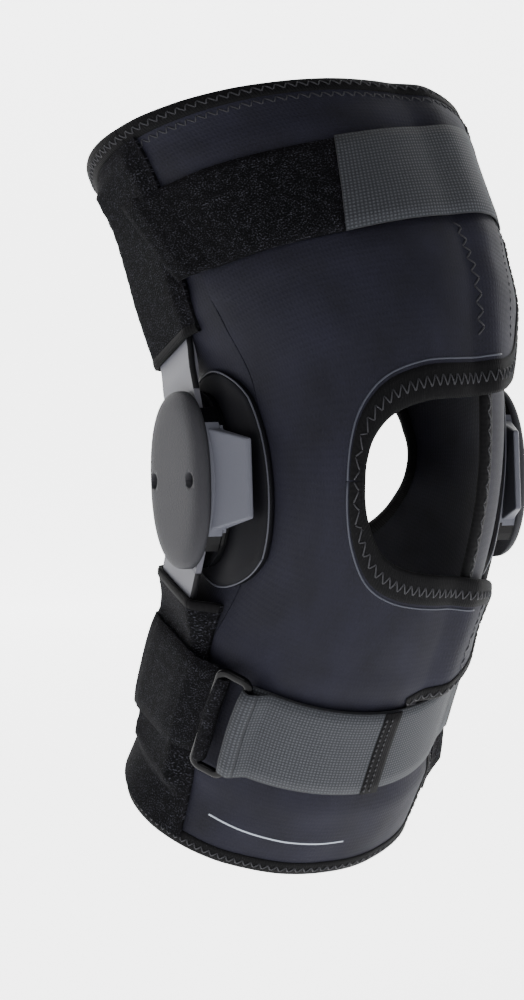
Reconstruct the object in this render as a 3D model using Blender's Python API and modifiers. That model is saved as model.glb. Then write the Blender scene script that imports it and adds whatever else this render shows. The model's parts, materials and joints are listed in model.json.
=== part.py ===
"""Hinged wrap-around knee brace, held at the bend of a half-flexed knee.

Frame: metres, +Z up along the hinge plates, -Y to the front of the knee, -X to the outer (lateral)
side of a right leg. The origin is the knee centre, midway between the two hinges.
Sizes below are in millimetres and are scaled by MM where meshes are made.

The fabric follows one leg surface, leg_point(u, v, off): u is the angle round the leg in degrees,
0 at the front and positive towards the inner (medial) side, v runs up the leg in millimetres from
the knee, and off is the distance outside the sleeve's outer face.
"""

import math

import bmesh
import bpy
from mathutils import Matrix, Vector

MM = 0.001
GAP = 0.3                    # clearance between neighbouring solids
FABRIC = 2.5                 # thickness of the sleeve's laminate
STRAP_THICKNESS = 1.6
BINDING_RADIUS = 2.2

# Leg surface: v, centre x, y, z, tilt of the section (degrees), half width, front depth, back depth
LEG = (
    (-160, -1.5, 81, -136, -34, 61.5, 55, 54),
    (-130, 1, 62, -112, -33, 59.5, 59, 58),
    (-110, -0.3, 50, -95, -32, 58.2, 61, 60),
    (-85, -1.8, 33, -75.5, -32, 57.8, 62, 61),
    (-60, -2.5, 15, -56, -32, 56, 63, 62),
    (-30, -0.8, -9, -30, -26, 53.2, 61, 58),
    (0, 0, -26, 0, -6, 52, 64, 58),
    (30, 0.8, -20, 31, 15, 55.7, 71, 60),
    (40, 1, -16, 40.5, 17.5, 58, 74, 63),
    (55, 1, -8, 55, 20, 63, 77, 68),
    (85, 0, 10, 82, 20, 67, 79, 75),
    (100, -0.5, 19, 95.5, 19.5, 68, 78, 75.5),
    (120, -1.5, 31, 113.5, 19, 70, 76.5, 75),
    (135, -3.5, 39, 127, 18, 73.5, 75, 74),
    (150, -8, 47, 140, 17, 77, 73, 73),
)
TOP_V = 150                  # top rim
BOTTOM_V = -160              # bottom rim
RIM_BAND = 4                 # height that each rim's binding takes

# Edges of the openings at the knee, as (u, v), for u from 0 (front) to 180 (back) and one step
# beyond each. They leave the condyle pads free as the brace bends and straightens.
THIGH_LOW_EDGE = (
    (-35, 28), (0, 27), (35, 28), (60, 36), (75, 46), (90, 52), (112, 54), (142, 66), (180, 82), (218, 66),
)
SHANK_HIGH_EDGE = (
    (-35, -30), (0, -27), (35, -30), (60, -38), (75, -46), (90, -50), (112, -54), (142, -66), (180, -84), (218, -66),
)

# Wrap closure: the front panels start at a lateral seam and end in a flap over the medial side
LATERAL_SEAM_U = -74
FLAP_END_U = 62
UNDERLAP_U = 38
FLAP_RISE = 2.3              # gap under the flap that the hook patch fills
HOOK_THICKNESS = 1.0

# Polycentric hinge, all x as distance from the middle of the brace
PIVOT_Z = 15.5               # half the distance between the two pivots, and the gears' pitch radius
TEETH = 20
THIGH_TILT = 21              # backward tilt of the upper uprights at rest
SHANK_TILT = 32              # backward tilt of the lower uprights at rest
CASE_HALF_Y = 27
CASE_HALF_Z = 36
CASE_POWER = 2.3             # superellipse exponent of the case's outline
PAD_X = 59.8                 # flat outer face of the condyle pad
BACKING_X = (60.1, 61.4)
BASE_X = (61.7, 63.0)
INNER_PLATE_X = (63.3, 64.5)
UPRIGHT_X = (64.8, 67.3)
OUTER_PLATE_X = (67.6, 68.8)
WALL_TOP_X = 68.9
COVER_X = (69.2, 73.8)
RIVET_RADIUS = 3.0
RIVET_HOLE = 3.2
SCREW_Y = 18                 # distance of the stop screws from the hinge's middle
SCREW_HOLE = 3.7

ARM_BEND = {1: (15, 43), -1: (30, 54)}  # where the thigh's and the shank's bars bend onto the leg
UPRIGHT_WIDTH = 30
UPRIGHT_LENGTH = 112
POCKET_HALF = 24
POCKET_END = 124             # far end of a pocket, along the upright from its pivot
POCKET_THICKNESS = 1.4

# Straps: middle line, half width
# Middle v of the thigh strap at each u
THIGH_STRAP_LINE = ((-122, 96), (-80, 95), (-18, 94.5), (30, 103), (60, 110), (120, 109), (180, 105), (238, 96))
CALF_STRAP_DROP = 20         # how much lower the calf strap runs at the back
THIGH_STRAP_HALF = 22
CALF_STRAP_V = -90
CALF_STRAP_HALF = 24
STRAP_SEWN_U = -122          # where both straps are sewn to the lateral pocket
THIGH_TAB_U = (-6, 60)       # the hook tab of the thigh strap
CALF_RING_U = -56
CALF_TAB_U = (-46, 10)


# ---------------------------------------------------------------- leg surface


def interpolate(table, x):
    """Smooth curve through a table whose first column is x: a cubic Hermite with averaged slopes."""
    x = min(max(x, table[0][0]), table[-1][0])
    k = max(i for i in range(len(table) - 1) if table[i][0] <= x)
    left, right = table[k], table[k + 1]
    span = right[0] - left[0]
    t = (x - left[0]) / span

    def slope(i, c):
        a, b = table[max(i - 1, 0)], table[min(i + 1, len(table) - 1)]
        return (b[c] - a[c]) / (b[0] - a[0])

    values = []
    for c in range(1, len(left)):
        m0, m1 = slope(k, c) * span, slope(k + 1, c) * span
        values.append(
            (2 * t**3 - 3 * t**2 + 1) * left[c] + (t**3 - 2 * t**2 + t) * m0
            + (3 * t**2 - 2 * t**3) * right[c] + (t**3 - t**2) * m1
        )
    return values


def smooth_step(low, high, x):
    t = min(max((x - low) / (high - low), 0), 1)
    return t * t * (3 - 2 * t)


def leg_point(u, v, off=0.0):
    cx, cy, cz, tilt, half, front, back = interpolate(LEG, v)
    angle, lean = math.radians(u), math.radians(tilt)
    depth = (front if math.cos(angle) > 0 else back) + off
    along = depth * math.cos(angle)
    return Vector((
        cx + (half + off) * math.sin(angle),
        cy - along * math.cos(lean),
        cz + along * math.sin(lean),
    ))


def leg_side(side, y, z, off=0.0):
    """x of the leg surface at (y, z) on the lateral (-1) or medial (+1) side."""
    low, high = BOTTOM_V, TOP_V
    for _ in range(30):
        v = (low + high) / 2
        _, cy, cz, tilt, _, _, _ = interpolate(LEG, v)
        lean = math.radians(tilt)
        if (y - cy) * math.sin(lean) + (z - cz) * math.cos(lean) > 0:
            low = v
        else:
            high = v
    cx, cy, cz, tilt, half, front, back = interpolate(LEG, v)
    lean = math.radians(tilt)
    along = (z - cz) * math.sin(lean) - (y - cy) * math.cos(lean)
    share = along / ((front if along > 0 else back) + off)
    return cx + side * (half + off) * math.sqrt(max(1 - share * share, 0.05))


def arm_point(leg, h, w):
    """(y, z) on the line of an upright: h up the bar from its pivot, w behind its middle.
    leg is +1 for the thigh and -1 for the shank."""
    tilt = math.radians(THIGH_TILT if leg > 0 else SHANK_TILT)
    y = h * math.sin(tilt) + w * math.cos(tilt)
    return y, leg * (PIVOT_Z + h * math.cos(tilt) - w * math.sin(tilt))


def arm_x(side, leg, h):
    """x of the middle of an upright: flat in the hinge, then a bend onto the leg that starts beyond
    the case."""
    hinge = side * (UPRIGHT_X[0] + UPRIGHT_X[1]) / 2
    on_leg = max(side * leg_side(side, *arm_point(leg, h, w), 1.8) for w in (-15, 0, 15))
    return hinge + (side * on_leg - hinge) * smooth_step(*ARM_BEND[leg], h)


# ---------------------------------------------------------------- making objects


def clear_scene():
    for obj in list(bpy.data.objects):
        bpy.data.objects.remove(obj)
    for name in ("knee_brace", "cutters"):
        bpy.context.scene.collection.children.link(bpy.data.collections.new(name))


def make_material(name, colour, roughness, metallic=0.0):
    material = bpy.data.materials.new(name)
    material.use_nodes = True
    shader = material.node_tree.nodes["Principled BSDF"]
    shader.inputs["Base Color"].default_value = (*colour, 1)
    shader.inputs["Roughness"].default_value = roughness
    shader.inputs["Metallic"].default_value = metallic
    return material


def add_object(name, data, material=None, collection="knee_brace"):
    obj = bpy.data.objects.new(name, data)
    bpy.data.collections[collection].objects.link(obj)
    if material:
        data.materials.append(material)
    return obj


def scaled_mesh(name, bm):
    bmesh.ops.scale(bm, vec=(MM, MM, MM), verts=bm.verts)
    mesh = bpy.data.meshes.new(name)
    bm.to_mesh(mesh)
    bm.free()
    return mesh


def patch(name, point, columns, rows, thickness, material):
    """A fabric shell: a grid whose points follow point(s, t) for s and t from 0 to 1, made thick."""
    bm = bmesh.new()
    bmesh.ops.create_grid(bm, x_segments=columns, y_segments=rows, size=0.5)
    for vert in bm.verts:
        vert.co = point(vert.co.x + 0.5, vert.co.y + 0.5)
    obj = add_object(name, scaled_mesh(name, bm), material)
    shell = obj.modifiers.new("thickness", "SOLIDIFY")
    shell.thickness = thickness * MM
    shell.offset = 0
    return obj


def tube(name, points, radius, material, cyclic=False, resolution=1):
    curve = bpy.data.curves.new(name, "CURVE")
    curve.dimensions = "3D"
    curve.bevel_depth = radius * MM
    curve.bevel_resolution = resolution
    curve.use_fill_caps = not cyclic
    spline = curve.splines.new("POLY")
    spline.points.add(len(points) - 1)
    for target, p in zip(spline.points, points):
        target.co = (*(Vector(p) * MM), 1)
    spline.use_cyclic_u = cyclic
    return add_object(name, curve, material)


def circle(y, z, radius, count=24):
    turn = 2 * math.pi / count
    return [(y + radius * math.cos(i * turn), z + radius * math.sin(i * turn)) for i in range(count)]


def oval(half_y, half_z, count=32):
    """Superellipse outline of the hinge case."""
    points = []
    for i in range(count):
        a = 2 * math.pi * i / count
        c, s = math.cos(a), math.sin(a)
        points.append((
            half_y * math.copysign(abs(c) ** (2 / CASE_POWER), c),
            half_z * math.copysign(abs(s) ** (2 / CASE_POWER), s),
        ))
    return points


def flat_curve(name, outlines, x_range, side, material, collection="knee_brace"):
    """A plate in the hinge's plane: outlines in (y, z), the first the outside and the rest holes."""
    curve = bpy.data.curves.new(name, "CURVE")
    curve.dimensions = "2D"
    curve.fill_mode = "BOTH"
    curve.extrude = (x_range[1] - x_range[0]) / 2 * MM
    for outline in outlines:
        spline = curve.splines.new("POLY")
        spline.points.add(len(outline) - 1)
        for target, (y, z) in zip(spline.points, outline):
            target.co = (y * MM, z * MM, 0, 1)
        spline.use_cyclic_u = True
    obj = add_object(name, curve, material, collection)
    middle = side * (x_range[0] + x_range[1]) / 2 * MM
    obj.matrix_world = Matrix(((0, 0, 1, middle), (1, 0, 0, 0), (0, 1, 0, 0), (0, 0, 0, 1)))
    return obj


def as_mesh(curve_object, collection="knee_brace"):
    """The same shape as a welded mesh object, so that Booleans can use it."""
    bpy.context.view_layer.update()
    graph = bpy.context.evaluated_depsgraph_get()
    mesh = bpy.data.meshes.new_from_object(curve_object.evaluated_get(graph))
    bm = bmesh.new()
    bm.from_mesh(mesh)
    bmesh.ops.remove_doubles(bm, verts=bm.verts, dist=0.001 * MM)
    bm.to_mesh(mesh)
    bm.free()
    name, place = curve_object.name, curve_object.matrix_world.copy()
    bpy.data.objects.remove(curve_object)
    obj = bpy.data.objects.new(name, mesh)
    bpy.data.collections[collection].objects.link(obj)
    obj.matrix_world = place
    return obj


def rod_mesh(name, sections, y, z, side, sides=24):
    """Stacked coaxial cylinders along x, as one mesh: sections are (x_low, x_high, radius)."""
    bm = bmesh.new()
    profile = []
    for low, high, radius in sections:
        profile += [(low, radius), (high, radius)]
    rings = []
    for x, radius in profile:
        turn = 2 * math.pi / sides
        rings.append([
            bm.verts.new((side * x, y + radius * math.cos(i * turn), z + radius * math.sin(i * turn)))
            for i in range(sides)
        ])
    for a, b in zip(rings, rings[1:]):
        for i in range(sides):
            j = (i + 1) % sides
            bm.faces.new((a[i], a[j], b[j], b[i]))
    bm.faces.new(rings[0])
    bm.faces.new(rings[-1])
    bmesh.ops.recalc_face_normals(bm, faces=bm.faces)
    return scaled_mesh(name, bm)


def boolean(obj, other, operation):
    modifier = obj.modifiers.new(operation.lower(), "BOOLEAN")
    modifier.operation = operation
    modifier.object = other
    other.hide_render = True
    other.display_type = "WIRE"
    for collection in list(other.users_collection):
        collection.objects.unlink(other)
    bpy.data.collections["cutters"].objects.link(other)


# ---------------------------------------------------------------- sleeve


def edge_at(table, u):
    u = abs((u + 180) % 360 - 180)
    return interpolate(table, u)[0]


def panel(name, leg, u_range, columns, material, rise=0.0, rise_u=(0, 1)):
    """One panel of the sleeve between a knee edge and a rim. It rises by rise across rise_u,
    which lifts the wrap flap over the panel under it."""
    def point(s, t):
        u = u_range[0] + (u_range[1] - u_range[0]) * s
        low = edge_at(THIGH_LOW_EDGE if leg > 0 else SHANK_HIGH_EDGE, u)
        high = TOP_V - RIM_BAND if leg > 0 else BOTTOM_V + RIM_BAND
        v = low + (high - low) * t
        return leg_point(u, v, -FABRIC / 2 + rise * smooth_step(*rise_u, u))
    return patch(name, point, columns, 10, FABRIC, material)


def hook_patch(name, leg, material):
    """Hook strip sewn under the free edge of a wrap flap."""
    def point(s, t):
        u = UNDERLAP_U + 6 + (FLAP_END_U - UNDERLAP_U - 8) * s
        low = edge_at(THIGH_LOW_EDGE if leg > 0 else SHANK_HIGH_EDGE, u) + leg * 6
        v = low + leg * 62 * t
        return leg_point(u, v, 0.55 + HOOK_THICKNESS / 2)
    return patch(name, point, 4, 9, HOOK_THICKNESS, material)


def rim_binding(name, v, material):
    ring = [leg_point(u, v, -FABRIC / 2) for u in range(0, 360, 10)]
    return tube(name, ring, BINDING_RADIUS, material, cyclic=True)


def edge_binding(name, leg, u_range, step, material):
    """Binding along a knee edge, just clear of the panels."""
    table = THIGH_LOW_EDGE if leg > 0 else SHANK_HIGH_EDGE
    us = range(u_range[0], u_range[1] + 1, step)
    path = [leg_point(u, edge_at(table, u) - leg * (BINDING_RADIUS + 1.4), -FABRIC / 2) for u in us]
    return tube(name, path, BINDING_RADIUS, material)


def side_panel(name, side, material):
    """The sleeve under a hinge, between the patella opening and the popliteal opening."""
    def point(s, t):
        return leg_point(side * (56 + 78 * s), -11 + 22 * t, -FABRIC / 2)
    return patch(name, point, 8, 2, FABRIC, material)


def pocket(name, side, leg, material):
    """Loop-fabric pocket over an upright. Its mouth is cut at a slant, deeper at the back."""
    def point(s, t):
        w = POCKET_HALF * (1 - 2 * s)
        mouth = 35 + (5 if leg > 0 else 6.5) * w / POCKET_HALF
        h = mouth + (POCKET_END - mouth) * t
        y, z = arm_point(leg, h, w)
        return Vector((side * pocket_x(side, leg, h, w), y, z))
    return patch(name, point, 12, 9, POCKET_THICKNESS, material)


def pocket_x(side, leg, h, w):
    """Distance from the middle of the brace to the middle of the pocket's fabric."""
    over_bar = abs(arm_x(side, leg, h)) + 1.25 + GAP + 1.1
    on_leg = side * leg_side(side, *arm_point(leg, h, w), 1.3)
    lift = 1 - smooth_step(UPRIGHT_WIDTH / 2 + 3, POCKET_HALF, abs(w))
    closed = 1 - smooth_step(UPRIGHT_LENGTH + 3, POCKET_END, h)
    return on_leg + max(over_bar - on_leg, 0) * lift * closed


def build_sleeve(mat):
    for leg, name in ((1, "thigh"), (-1, "shank")):
        panel(f"{name}_front_panel", leg, (LATERAL_SEAM_U, FLAP_END_U), 15, mat["sleeve"],
              FLAP_RISE + FABRIC, (UNDERLAP_U - 10, UNDERLAP_U - 1))
        panel(f"{name}_back_panel", leg, (UNDERLAP_U, 360 + LATERAL_SEAM_U - 1), 24, mat["sleeve"])
        hook_patch(f"{name}_flap_hook", leg, mat["hook"])
        edge_binding(f"patella_binding_{'upper' if leg > 0 else 'lower'}", leg, (-36, 48), 7, mat["binding"])
        edge_binding(f"popliteal_binding_{'upper' if leg > 0 else 'lower'}", leg, (132, 228), 6, mat["binding"])
        for side, where in ((-1, "lateral"), (1, "medial")):
            pocket(f"{where}_{name}_pocket", side, leg, mat["loop"])
    rim_binding("top_binding", TOP_V - 1, mat["binding"])
    rim_binding("bottom_binding", BOTTOM_V + 1, mat["binding"])
    for side, where in ((-1, "lateral"), (1, "medial")):
        side_panel(f"{where}_side_panel", side, mat["sleeve"])


# ---------------------------------------------------------------- straps


def stack_height(u, leg, v):
    """Offset from the sleeve that clears what a strap passes over: the flap and the pockets."""
    u = (u + 180) % 360 - 180
    over_flap = (FLAP_RISE + FABRIC) * smooth_step(UNDERLAP_U - 18, UNDERLAP_U - 9, u)
    over_flap *= 1 - smooth_step(FLAP_END_U + 1, FLAP_END_U + 10, u)
    if not 48 < abs(u) < 150:
        return over_flap
    side = -1 if u < 0 else 1
    tilt = math.radians(THIGH_TILT if leg > 0 else SHANK_TILT)
    off = 0.0
    for _ in range(5):
        p = leg_point(u, v, off)
        y, z = p.y, leg * p.z - PIVOT_Z
        h, w = y * math.sin(tilt) + z * math.cos(tilt), y * math.cos(tilt) - z * math.sin(tilt)
        beyond = smooth_step(POCKET_HALF, POCKET_HALF + 8, abs(w))
        top = pocket_x(side, leg, h, w) + POCKET_THICKNESS / 2 - 2 * beyond
        off = max(off + (top - side * p.x) / max(abs(math.sin(math.radians(u))), 0.6), 0)
    return max(off, over_flap)


def strap(name, leg, u_range, layer, columns, material, thickness=STRAP_THICKNESS):
    """A band round the leg. layer counts the straps that lie under it."""
    half = THIGH_STRAP_HALF if leg > 0 else CALF_STRAP_HALF

    def point(s, t):
        u = u_range[0] + (u_range[1] - u_range[0]) * s
        if leg > 0:
            centre = interpolate(THIGH_STRAP_LINE, u)[0]
        else:
            centre = CALF_STRAP_V - CALF_STRAP_DROP * smooth_step(60, 180, abs((u + 180) % 360 - 180))
        v = centre + half * (2 * t - 1)
        base = max(stack_height(u + a, leg, centre + half * k / 2) for k in range(-2, 3) for a in (-3, 0, 3))
        off = base + 0.7 + thickness / 2 + layer * (STRAP_THICKNESS + GAP)
        return leg_point(u, v, off)
    return patch(name, point, columns, 4 if leg > 0 else 2, thickness, material)


def ring(name, material):
    """Plastic loop that the calf strap folds back through."""
    middle = leg_point(CALF_RING_U, CALF_STRAP_V, 6.2)
    across = (leg_point(CALF_RING_U + 5, CALF_STRAP_V, 6.2) - middle).normalized()
    upward = (leg_point(CALF_RING_U, CALF_STRAP_V + 5, 6.2) - middle).normalized()
    half_w, half_h, corner = 7.5, CALF_STRAP_HALF + 3.2, 3.0
    path = []
    for k, (sx, sy) in enumerate(((1, 1), (-1, 1), (-1, -1), (1, -1))):
        for i in range(4):
            a = math.radians(90 * k + 30 * i)
            path.append(
                middle + across * (sx * (half_w - corner) + corner * math.cos(a))
                + upward * (sy * (half_h - corner) + corner * math.sin(a))
            )
    return tube(name, path, 1.5, material, cyclic=True)


def build_straps(mat):
    strap("thigh_strap_loop", 1, (STRAP_SEWN_U + 2, 36), 0, 26, mat["loop"])
    strap("thigh_strap", 1, (THIGH_TAB_U[1] + 1, 360 + STRAP_SEWN_U), 0, 28, mat["webbing"])
    strap("thigh_strap_tab", 1, THIGH_TAB_U, 1, 11, mat["webbing"])
    strap("calf_strap_anchor", -1, (STRAP_SEWN_U + 2, CALF_RING_U - 9), 0, 8, mat["loop"])
    strap("calf_strap", -1, (CALF_RING_U + 9, 360 + STRAP_SEWN_U), 0, 34, mat["webbing"])
    strap("calf_strap_tab", -1, CALF_TAB_U, 1, 8, mat["webbing"])
    ring("calf_strap_ring", mat["plastic_black"])


# ---------------------------------------------------------------- uprights


def gear_outline(leg):
    """Outline of an upright's flat head in (y, z): involute teeth on the side that meets the other
    upright, a plain round elsewhere, and the straight sides of the bar. The tooth pattern is set by
    the line of centres, so that the two gears mesh at rest."""
    module = 2 * PIVOT_Z / TEETH
    tip, root, base = PIVOT_Z + 0.8 * module, PIVOT_Z - module, PIVOT_Z * math.cos(math.radians(20))
    half_tooth = math.pi / (2 * TEETH) - 0.15 / PIVOT_Z

    def involute(radius):
        a = math.acos(min(base / radius, 1))
        return math.tan(a) - a

    def flank(radius):
        return half_tooth + involute(PIVOT_Z) - involute(radius)

    tilt = THIGH_TILT if leg > 0 else SHANK_TILT
    pitch = 360 / TEETH
    # Angles run from the front side of the bar, past the other gear, to its back side.
    # 0 points at the other pivot and positive is towards the back.
    first, last = -54, 72
    points = []
    for k in range(-4, 5):
        centre = k * pitch + (0 if leg > 0 else pitch / 2)
        if not first < centre < last:
            continue
        middle = math.radians(centre)
        for radius in (root, PIVOT_Z, tip):
            points.append((radius, middle - flank(max(radius, base))))
        for radius in (tip, PIVOT_Z, root):
            points.append((radius, middle + flank(max(radius, base))))
    half = UPRIGHT_WIDTH / 2
    plain = half
    front_start = math.radians(-90 - tilt)
    back_end = math.radians(90 - tilt)
    before = [(plain, front_start + (points[0][1] - math.radians(6) - front_start) * i / 5) for i in range(6)]
    after_start = points[-1][1] + math.radians(6)
    after = []
    if after_start < back_end:
        after = [(plain, after_start + (back_end - after_start) * i / 3) for i in range(4)]
    outline = []
    for radius, a in before + points + after:
        outline.append((radius * math.sin(a), leg * (PIVOT_Z - radius * math.cos(a))))
    for h, w in ((26, half), (26, -half)):
        outline.append(arm_point(leg, h, w))
    return outline


def upright(name, side, leg, material):
    head = flat_curve(name, [gear_outline(leg), circle(0, leg * PIVOT_Z, RIVET_HOLE)], UPRIGHT_X, side, None)
    head = as_mesh(head)
    head.data.materials.append(material)
    start, round_end = 19, 12

    def point(s, t):
        h = start + (UPRIGHT_LENGTH - start) * t
        into_end = max(h - (UPRIGHT_LENGTH - round_end), 0) / round_end
        w = (2 * s - 1) * (UPRIGHT_WIDTH / 2 - 0.4) * math.sqrt(1 - 0.8 * into_end**2)
        y, z = arm_point(leg, h, w)
        return Vector((arm_x(side, leg, h), y, z))
    bar = patch(name + "_bar", point, 2, 22, 2.1, None)
    boolean(head, bar, "UNION")
    return head


# ---------------------------------------------------------------- hinge


def case_cover(name, side, material):
    """Domed outer cover, a shell open on its inner side, with two screw holes."""
    rings = ((1.0, COVER_X[0]), (1.0, COVER_X[0] + 2.0), (0.97, COVER_X[0] + 3.1), (0.91, COVER_X[0] + 3.8),
             (0.75, COVER_X[0] + 4.3), (0.4, COVER_X[1]))
    bm = bmesh.new()
    loops = []
    for share, x in rings:
        loops.append([bm.verts.new((side * x, share * y, share * z)) for y, z in oval(CASE_HALF_Y, CASE_HALF_Z)])
    for a, b in zip(loops, loops[1:]):
        for i in range(len(a)):
            j = (i + 1) % len(a)
            bm.faces.new((a[i], a[j], b[j], b[i]))
    bm.faces.new(loops[-1])
    bmesh.ops.recalc_face_normals(bm, faces=bm.faces)
    if (bm.faces[0].calc_center_median().y * bm.faces[0].normal.y) < 0:
        bmesh.ops.reverse_faces(bm, faces=bm.faces)
    cover = add_object(name, scaled_mesh(name, bm), material)
    shell = cover.modifiers.new("wall", "SOLIDIFY")
    shell.thickness = 1.6 * MM
    shell.offset = -1
    for k, y in enumerate((-SCREW_Y, SCREW_Y)):
        cutter = add_object(
            f"{name}_cutter_{k}",
            rod_mesh(f"{name}_cutter", [(COVER_X[0] - 2, COVER_X[1] + 3, SCREW_HOLE)], y, 0, side),
            None, "cutters")
        boolean(cover, cutter, "DIFFERENCE")
    return cover


def wall_outline(start, end, count):
    """A stretch of the case's wall, between two superellipses. Angles are from the front, upwards."""
    outer, inner = [], []
    for i in range(count + 1):
        a = math.radians(start + (end - start) * i / count)
        c, s = math.cos(a), math.sin(a)
        c = math.copysign(abs(c) ** (2 / CASE_POWER), c)
        s = math.copysign(abs(s) ** (2 / CASE_POWER), s)
        outer.append((-(CASE_HALF_Y - 0.5) * c, (CASE_HALF_Z - 0.5) * s))
        inner.append((-(CASE_HALF_Y - 2.6) * c, (CASE_HALF_Z - 2.6) * s))
    return outer + inner[::-1]


def front_tab(name, side):
    """Tapered wing of the case that slopes down towards the front of the knee."""
    bm = bmesh.new()
    bmesh.ops.create_cube(bm, size=1)
    for vert in bm.verts:
        tip, outer, top = vert.co.y < 0, vert.co.x > 0, vert.co.z > 0
        x = (61.0 if outer else 58.4) if tip else (68.5 if outer else 62.7)
        y = -44 if tip else -22.9
        z = 16 if tip else 20.5
        vert.co = (side * x, y, z if top else -z)
    if side < 0:
        bmesh.ops.reverse_faces(bm, faces=bm.faces)
    tab = add_object(name, scaled_mesh(name, bm), None, "cutters")
    bevel = tab.modifiers.new("edges", "BEVEL")
    bevel.width = 0.8 * MM
    bevel.segments = 2
    return tab


def case_housing(name, side, material):
    """Inner half of the hinge case: a base plate, walls that leave the uprights free to swing, and
    the front tab."""
    rivets = [circle(0, k * PIVOT_Z, RIVET_HOLE + 0.1) for k in (-1, 1)]
    base = as_mesh(flat_curve(name, [oval(CASE_HALF_Y, CASE_HALF_Z), *rivets], BASE_X, side, None))
    base.data.materials.append(material)
    for k, (start, end, count) in enumerate(((-52, 52, 14), (170, 190, 3))):
        wall = as_mesh(flat_curve(f"{name}_wall_{k}", [wall_outline(start, end, count)],
                                  (BASE_X[1] - 0.5, WALL_TOP_X), side, None, "cutters"), "cutters")
        boolean(base, wall, "UNION")
    boolean(base, front_tab(f"{name}_tab", side), "UNION")
    return base


def stop_wedge(name, side, direction, material):
    """Range stop held between the gears by a screw: direction is -1 at the front and +1 at the back."""
    corners = [(direction * 14, -4), (direction * 21.7, -6), (direction * 21.7, 6), (direction * 14, 4)]
    return flat_curve(name, [corners, circle(direction * SCREW_Y, 0, 1.8, 16)],
                      (BASE_X[1] + GAP, OUTER_PLATE_X[1] - 0.1), side, material)


def condyle_pad(name, side, material):
    """Foam pad between the hinge and the sleeve. Its inner face follows the leg and its outer face
    is flat under the hinge and falls away towards the front edge."""
    front, back, half_z = -45, 25, 43

    def outline(s, t):
        """A square spread onto a rounded rectangle."""
        p, q = 2 * s - 1, 2 * t - 1
        p, q = p * math.sqrt(1 - 0.34 * q * q), q * math.sqrt(1 - 0.34 * p * p)
        return (front + back) / 2 + (back - front) / 2 * p, half_z * q

    bm = bmesh.new()
    bmesh.ops.create_grid(bm, x_segments=8, y_segments=10, size=0.5)
    for vert in bm.verts:
        y, z = outline(vert.co.x + 0.5, vert.co.y + 0.5)
        vert.co = (0, y, z)
    grown = bmesh.ops.extrude_face_region(bm, geom=bm.faces[:])
    outer = {v for v in grown["geom"] if isinstance(v, bmesh.types.BMVert)}
    for vert in bm.verts:
        skin = max(side * leg_side(side, vert.co.y, vert.co.z, 0.6), 46)
        if vert in outer:
            reach = math.hypot(vert.co.y / 30, vert.co.z / 39)
            edge = min(skin + 3.2, PAD_X + 3)
            x = max(PAD_X + (edge - PAD_X) * min(max((reach - 1.0) / 0.35, 0), 1), skin + 0.4)
        else:
            x = skin
        vert.co.x = side * x
    bmesh.ops.recalc_face_normals(bm, faces=bm.faces)
    return add_object(name, scaled_mesh(name, bm), material)


def build_hinge(side, where, mat):
    rivets = [circle(0, k * PIVOT_Z, RIVET_HOLE) for k in (-1, 1)]
    condyle_pad(f"{where}_condyle_pad", side, mat["pad"])
    flat_curve(f"{where}_backing_plate", [oval(CASE_HALF_Y, CASE_HALF_Z - 0.5)], BACKING_X, side,
               mat["plastic_black"])
    case_housing(f"{where}_hinge_housing", side, mat["plastic_light"])
    for name, x_range in (("inner_plate", INNER_PLATE_X), ("outer_plate", OUTER_PLATE_X)):
        flat_curve(f"{where}_{name}", [oval(12, 27, 32), *rivets], x_range, side, mat["steel"])
    for k, name in ((1, "upper_rivet"), (-1, "lower_rivet")):
        add_object(f"{where}_{name}", rod_mesh(name, [
            (BASE_X[0] + 0.1, OUTER_PLATE_X[1] + 0.15, RIVET_RADIUS),
            (OUTER_PLATE_X[1] + 0.15, OUTER_PLATE_X[1] + 1.0, 5.0)], 0, k * PIVOT_Z, side), mat["steel"])
    for k, name, screw in ((-1, "extension_stop", "front_screw"), (1, "flexion_stop", "rear_screw")):
        stop_wedge(f"{where}_{name}", side, k, mat["plastic_black"])
        add_object(f"{where}_{screw}", rod_mesh(screw, [
            (BASE_X[1] + 0.5, OUTER_PLATE_X[1] + 0.3, 1.5),
            (OUTER_PLATE_X[1] + 0.3, COVER_X[1] - 1.6, 3.2)], k * SCREW_Y, 0, side, 16), mat["steel_dark"])
    case_cover(f"{where}_hinge_cover", side, mat["plastic_dark"])
    upright(f"{where}_upper_upright", side, 1, mat["aluminium"])
    upright(f"{where}_lower_upright", side, -1, mat["aluminium"])


def main():
    clear_scene()
    mat = {
        "sleeve": make_material("sleeve_fabric", (0.020, 0.020, 0.032), 0.8),
        "binding": make_material("binding_tape", (0.010, 0.011, 0.014), 0.75),
        "loop": make_material("loop_fabric", (0.012, 0.011, 0.016), 0.95),
        "hook": make_material("hook_tape", (0.012, 0.012, 0.014), 0.85),
        "webbing": make_material("strap_webbing", (0.070, 0.080, 0.095), 0.8),
        "pad": make_material("condyle_foam", (0.013, 0.013, 0.016), 0.5),
        "plastic_dark": make_material("cover_plastic", (0.110, 0.110, 0.120), 0.45),
        "plastic_light": make_material("housing_plastic", (0.200, 0.205, 0.220), 0.4),
        "plastic_black": make_material("black_plastic", (0.010, 0.010, 0.012), 0.35),
        "aluminium": make_material("painted_aluminium", (0.330, 0.330, 0.350), 0.35, 0.6),
        "steel": make_material("plated_steel", (0.350, 0.350, 0.360), 0.35, 1.0),
        "steel_dark": make_material("blackened_steel", (0.030, 0.030, 0.032), 0.35, 1.0),
    }
    build_sleeve(mat)
    build_straps(mat)
    build_hinge(-1, "lateral", mat)
    build_hinge(1, "medial", mat)


main()
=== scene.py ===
"""Looks of the hinged knee brace: fabric sleeve, straps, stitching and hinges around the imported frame.

Sizes are in millimetres and are scaled by MM where meshes are made. The fabric follows one leg surface,
leg_point(u, v, off): u is the angle round the leg in degrees, 0 at the front and positive towards the
inner side, v runs up the leg from the knee, and off is the distance outside the sleeve's outer face.
"""

import json
import math

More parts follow.
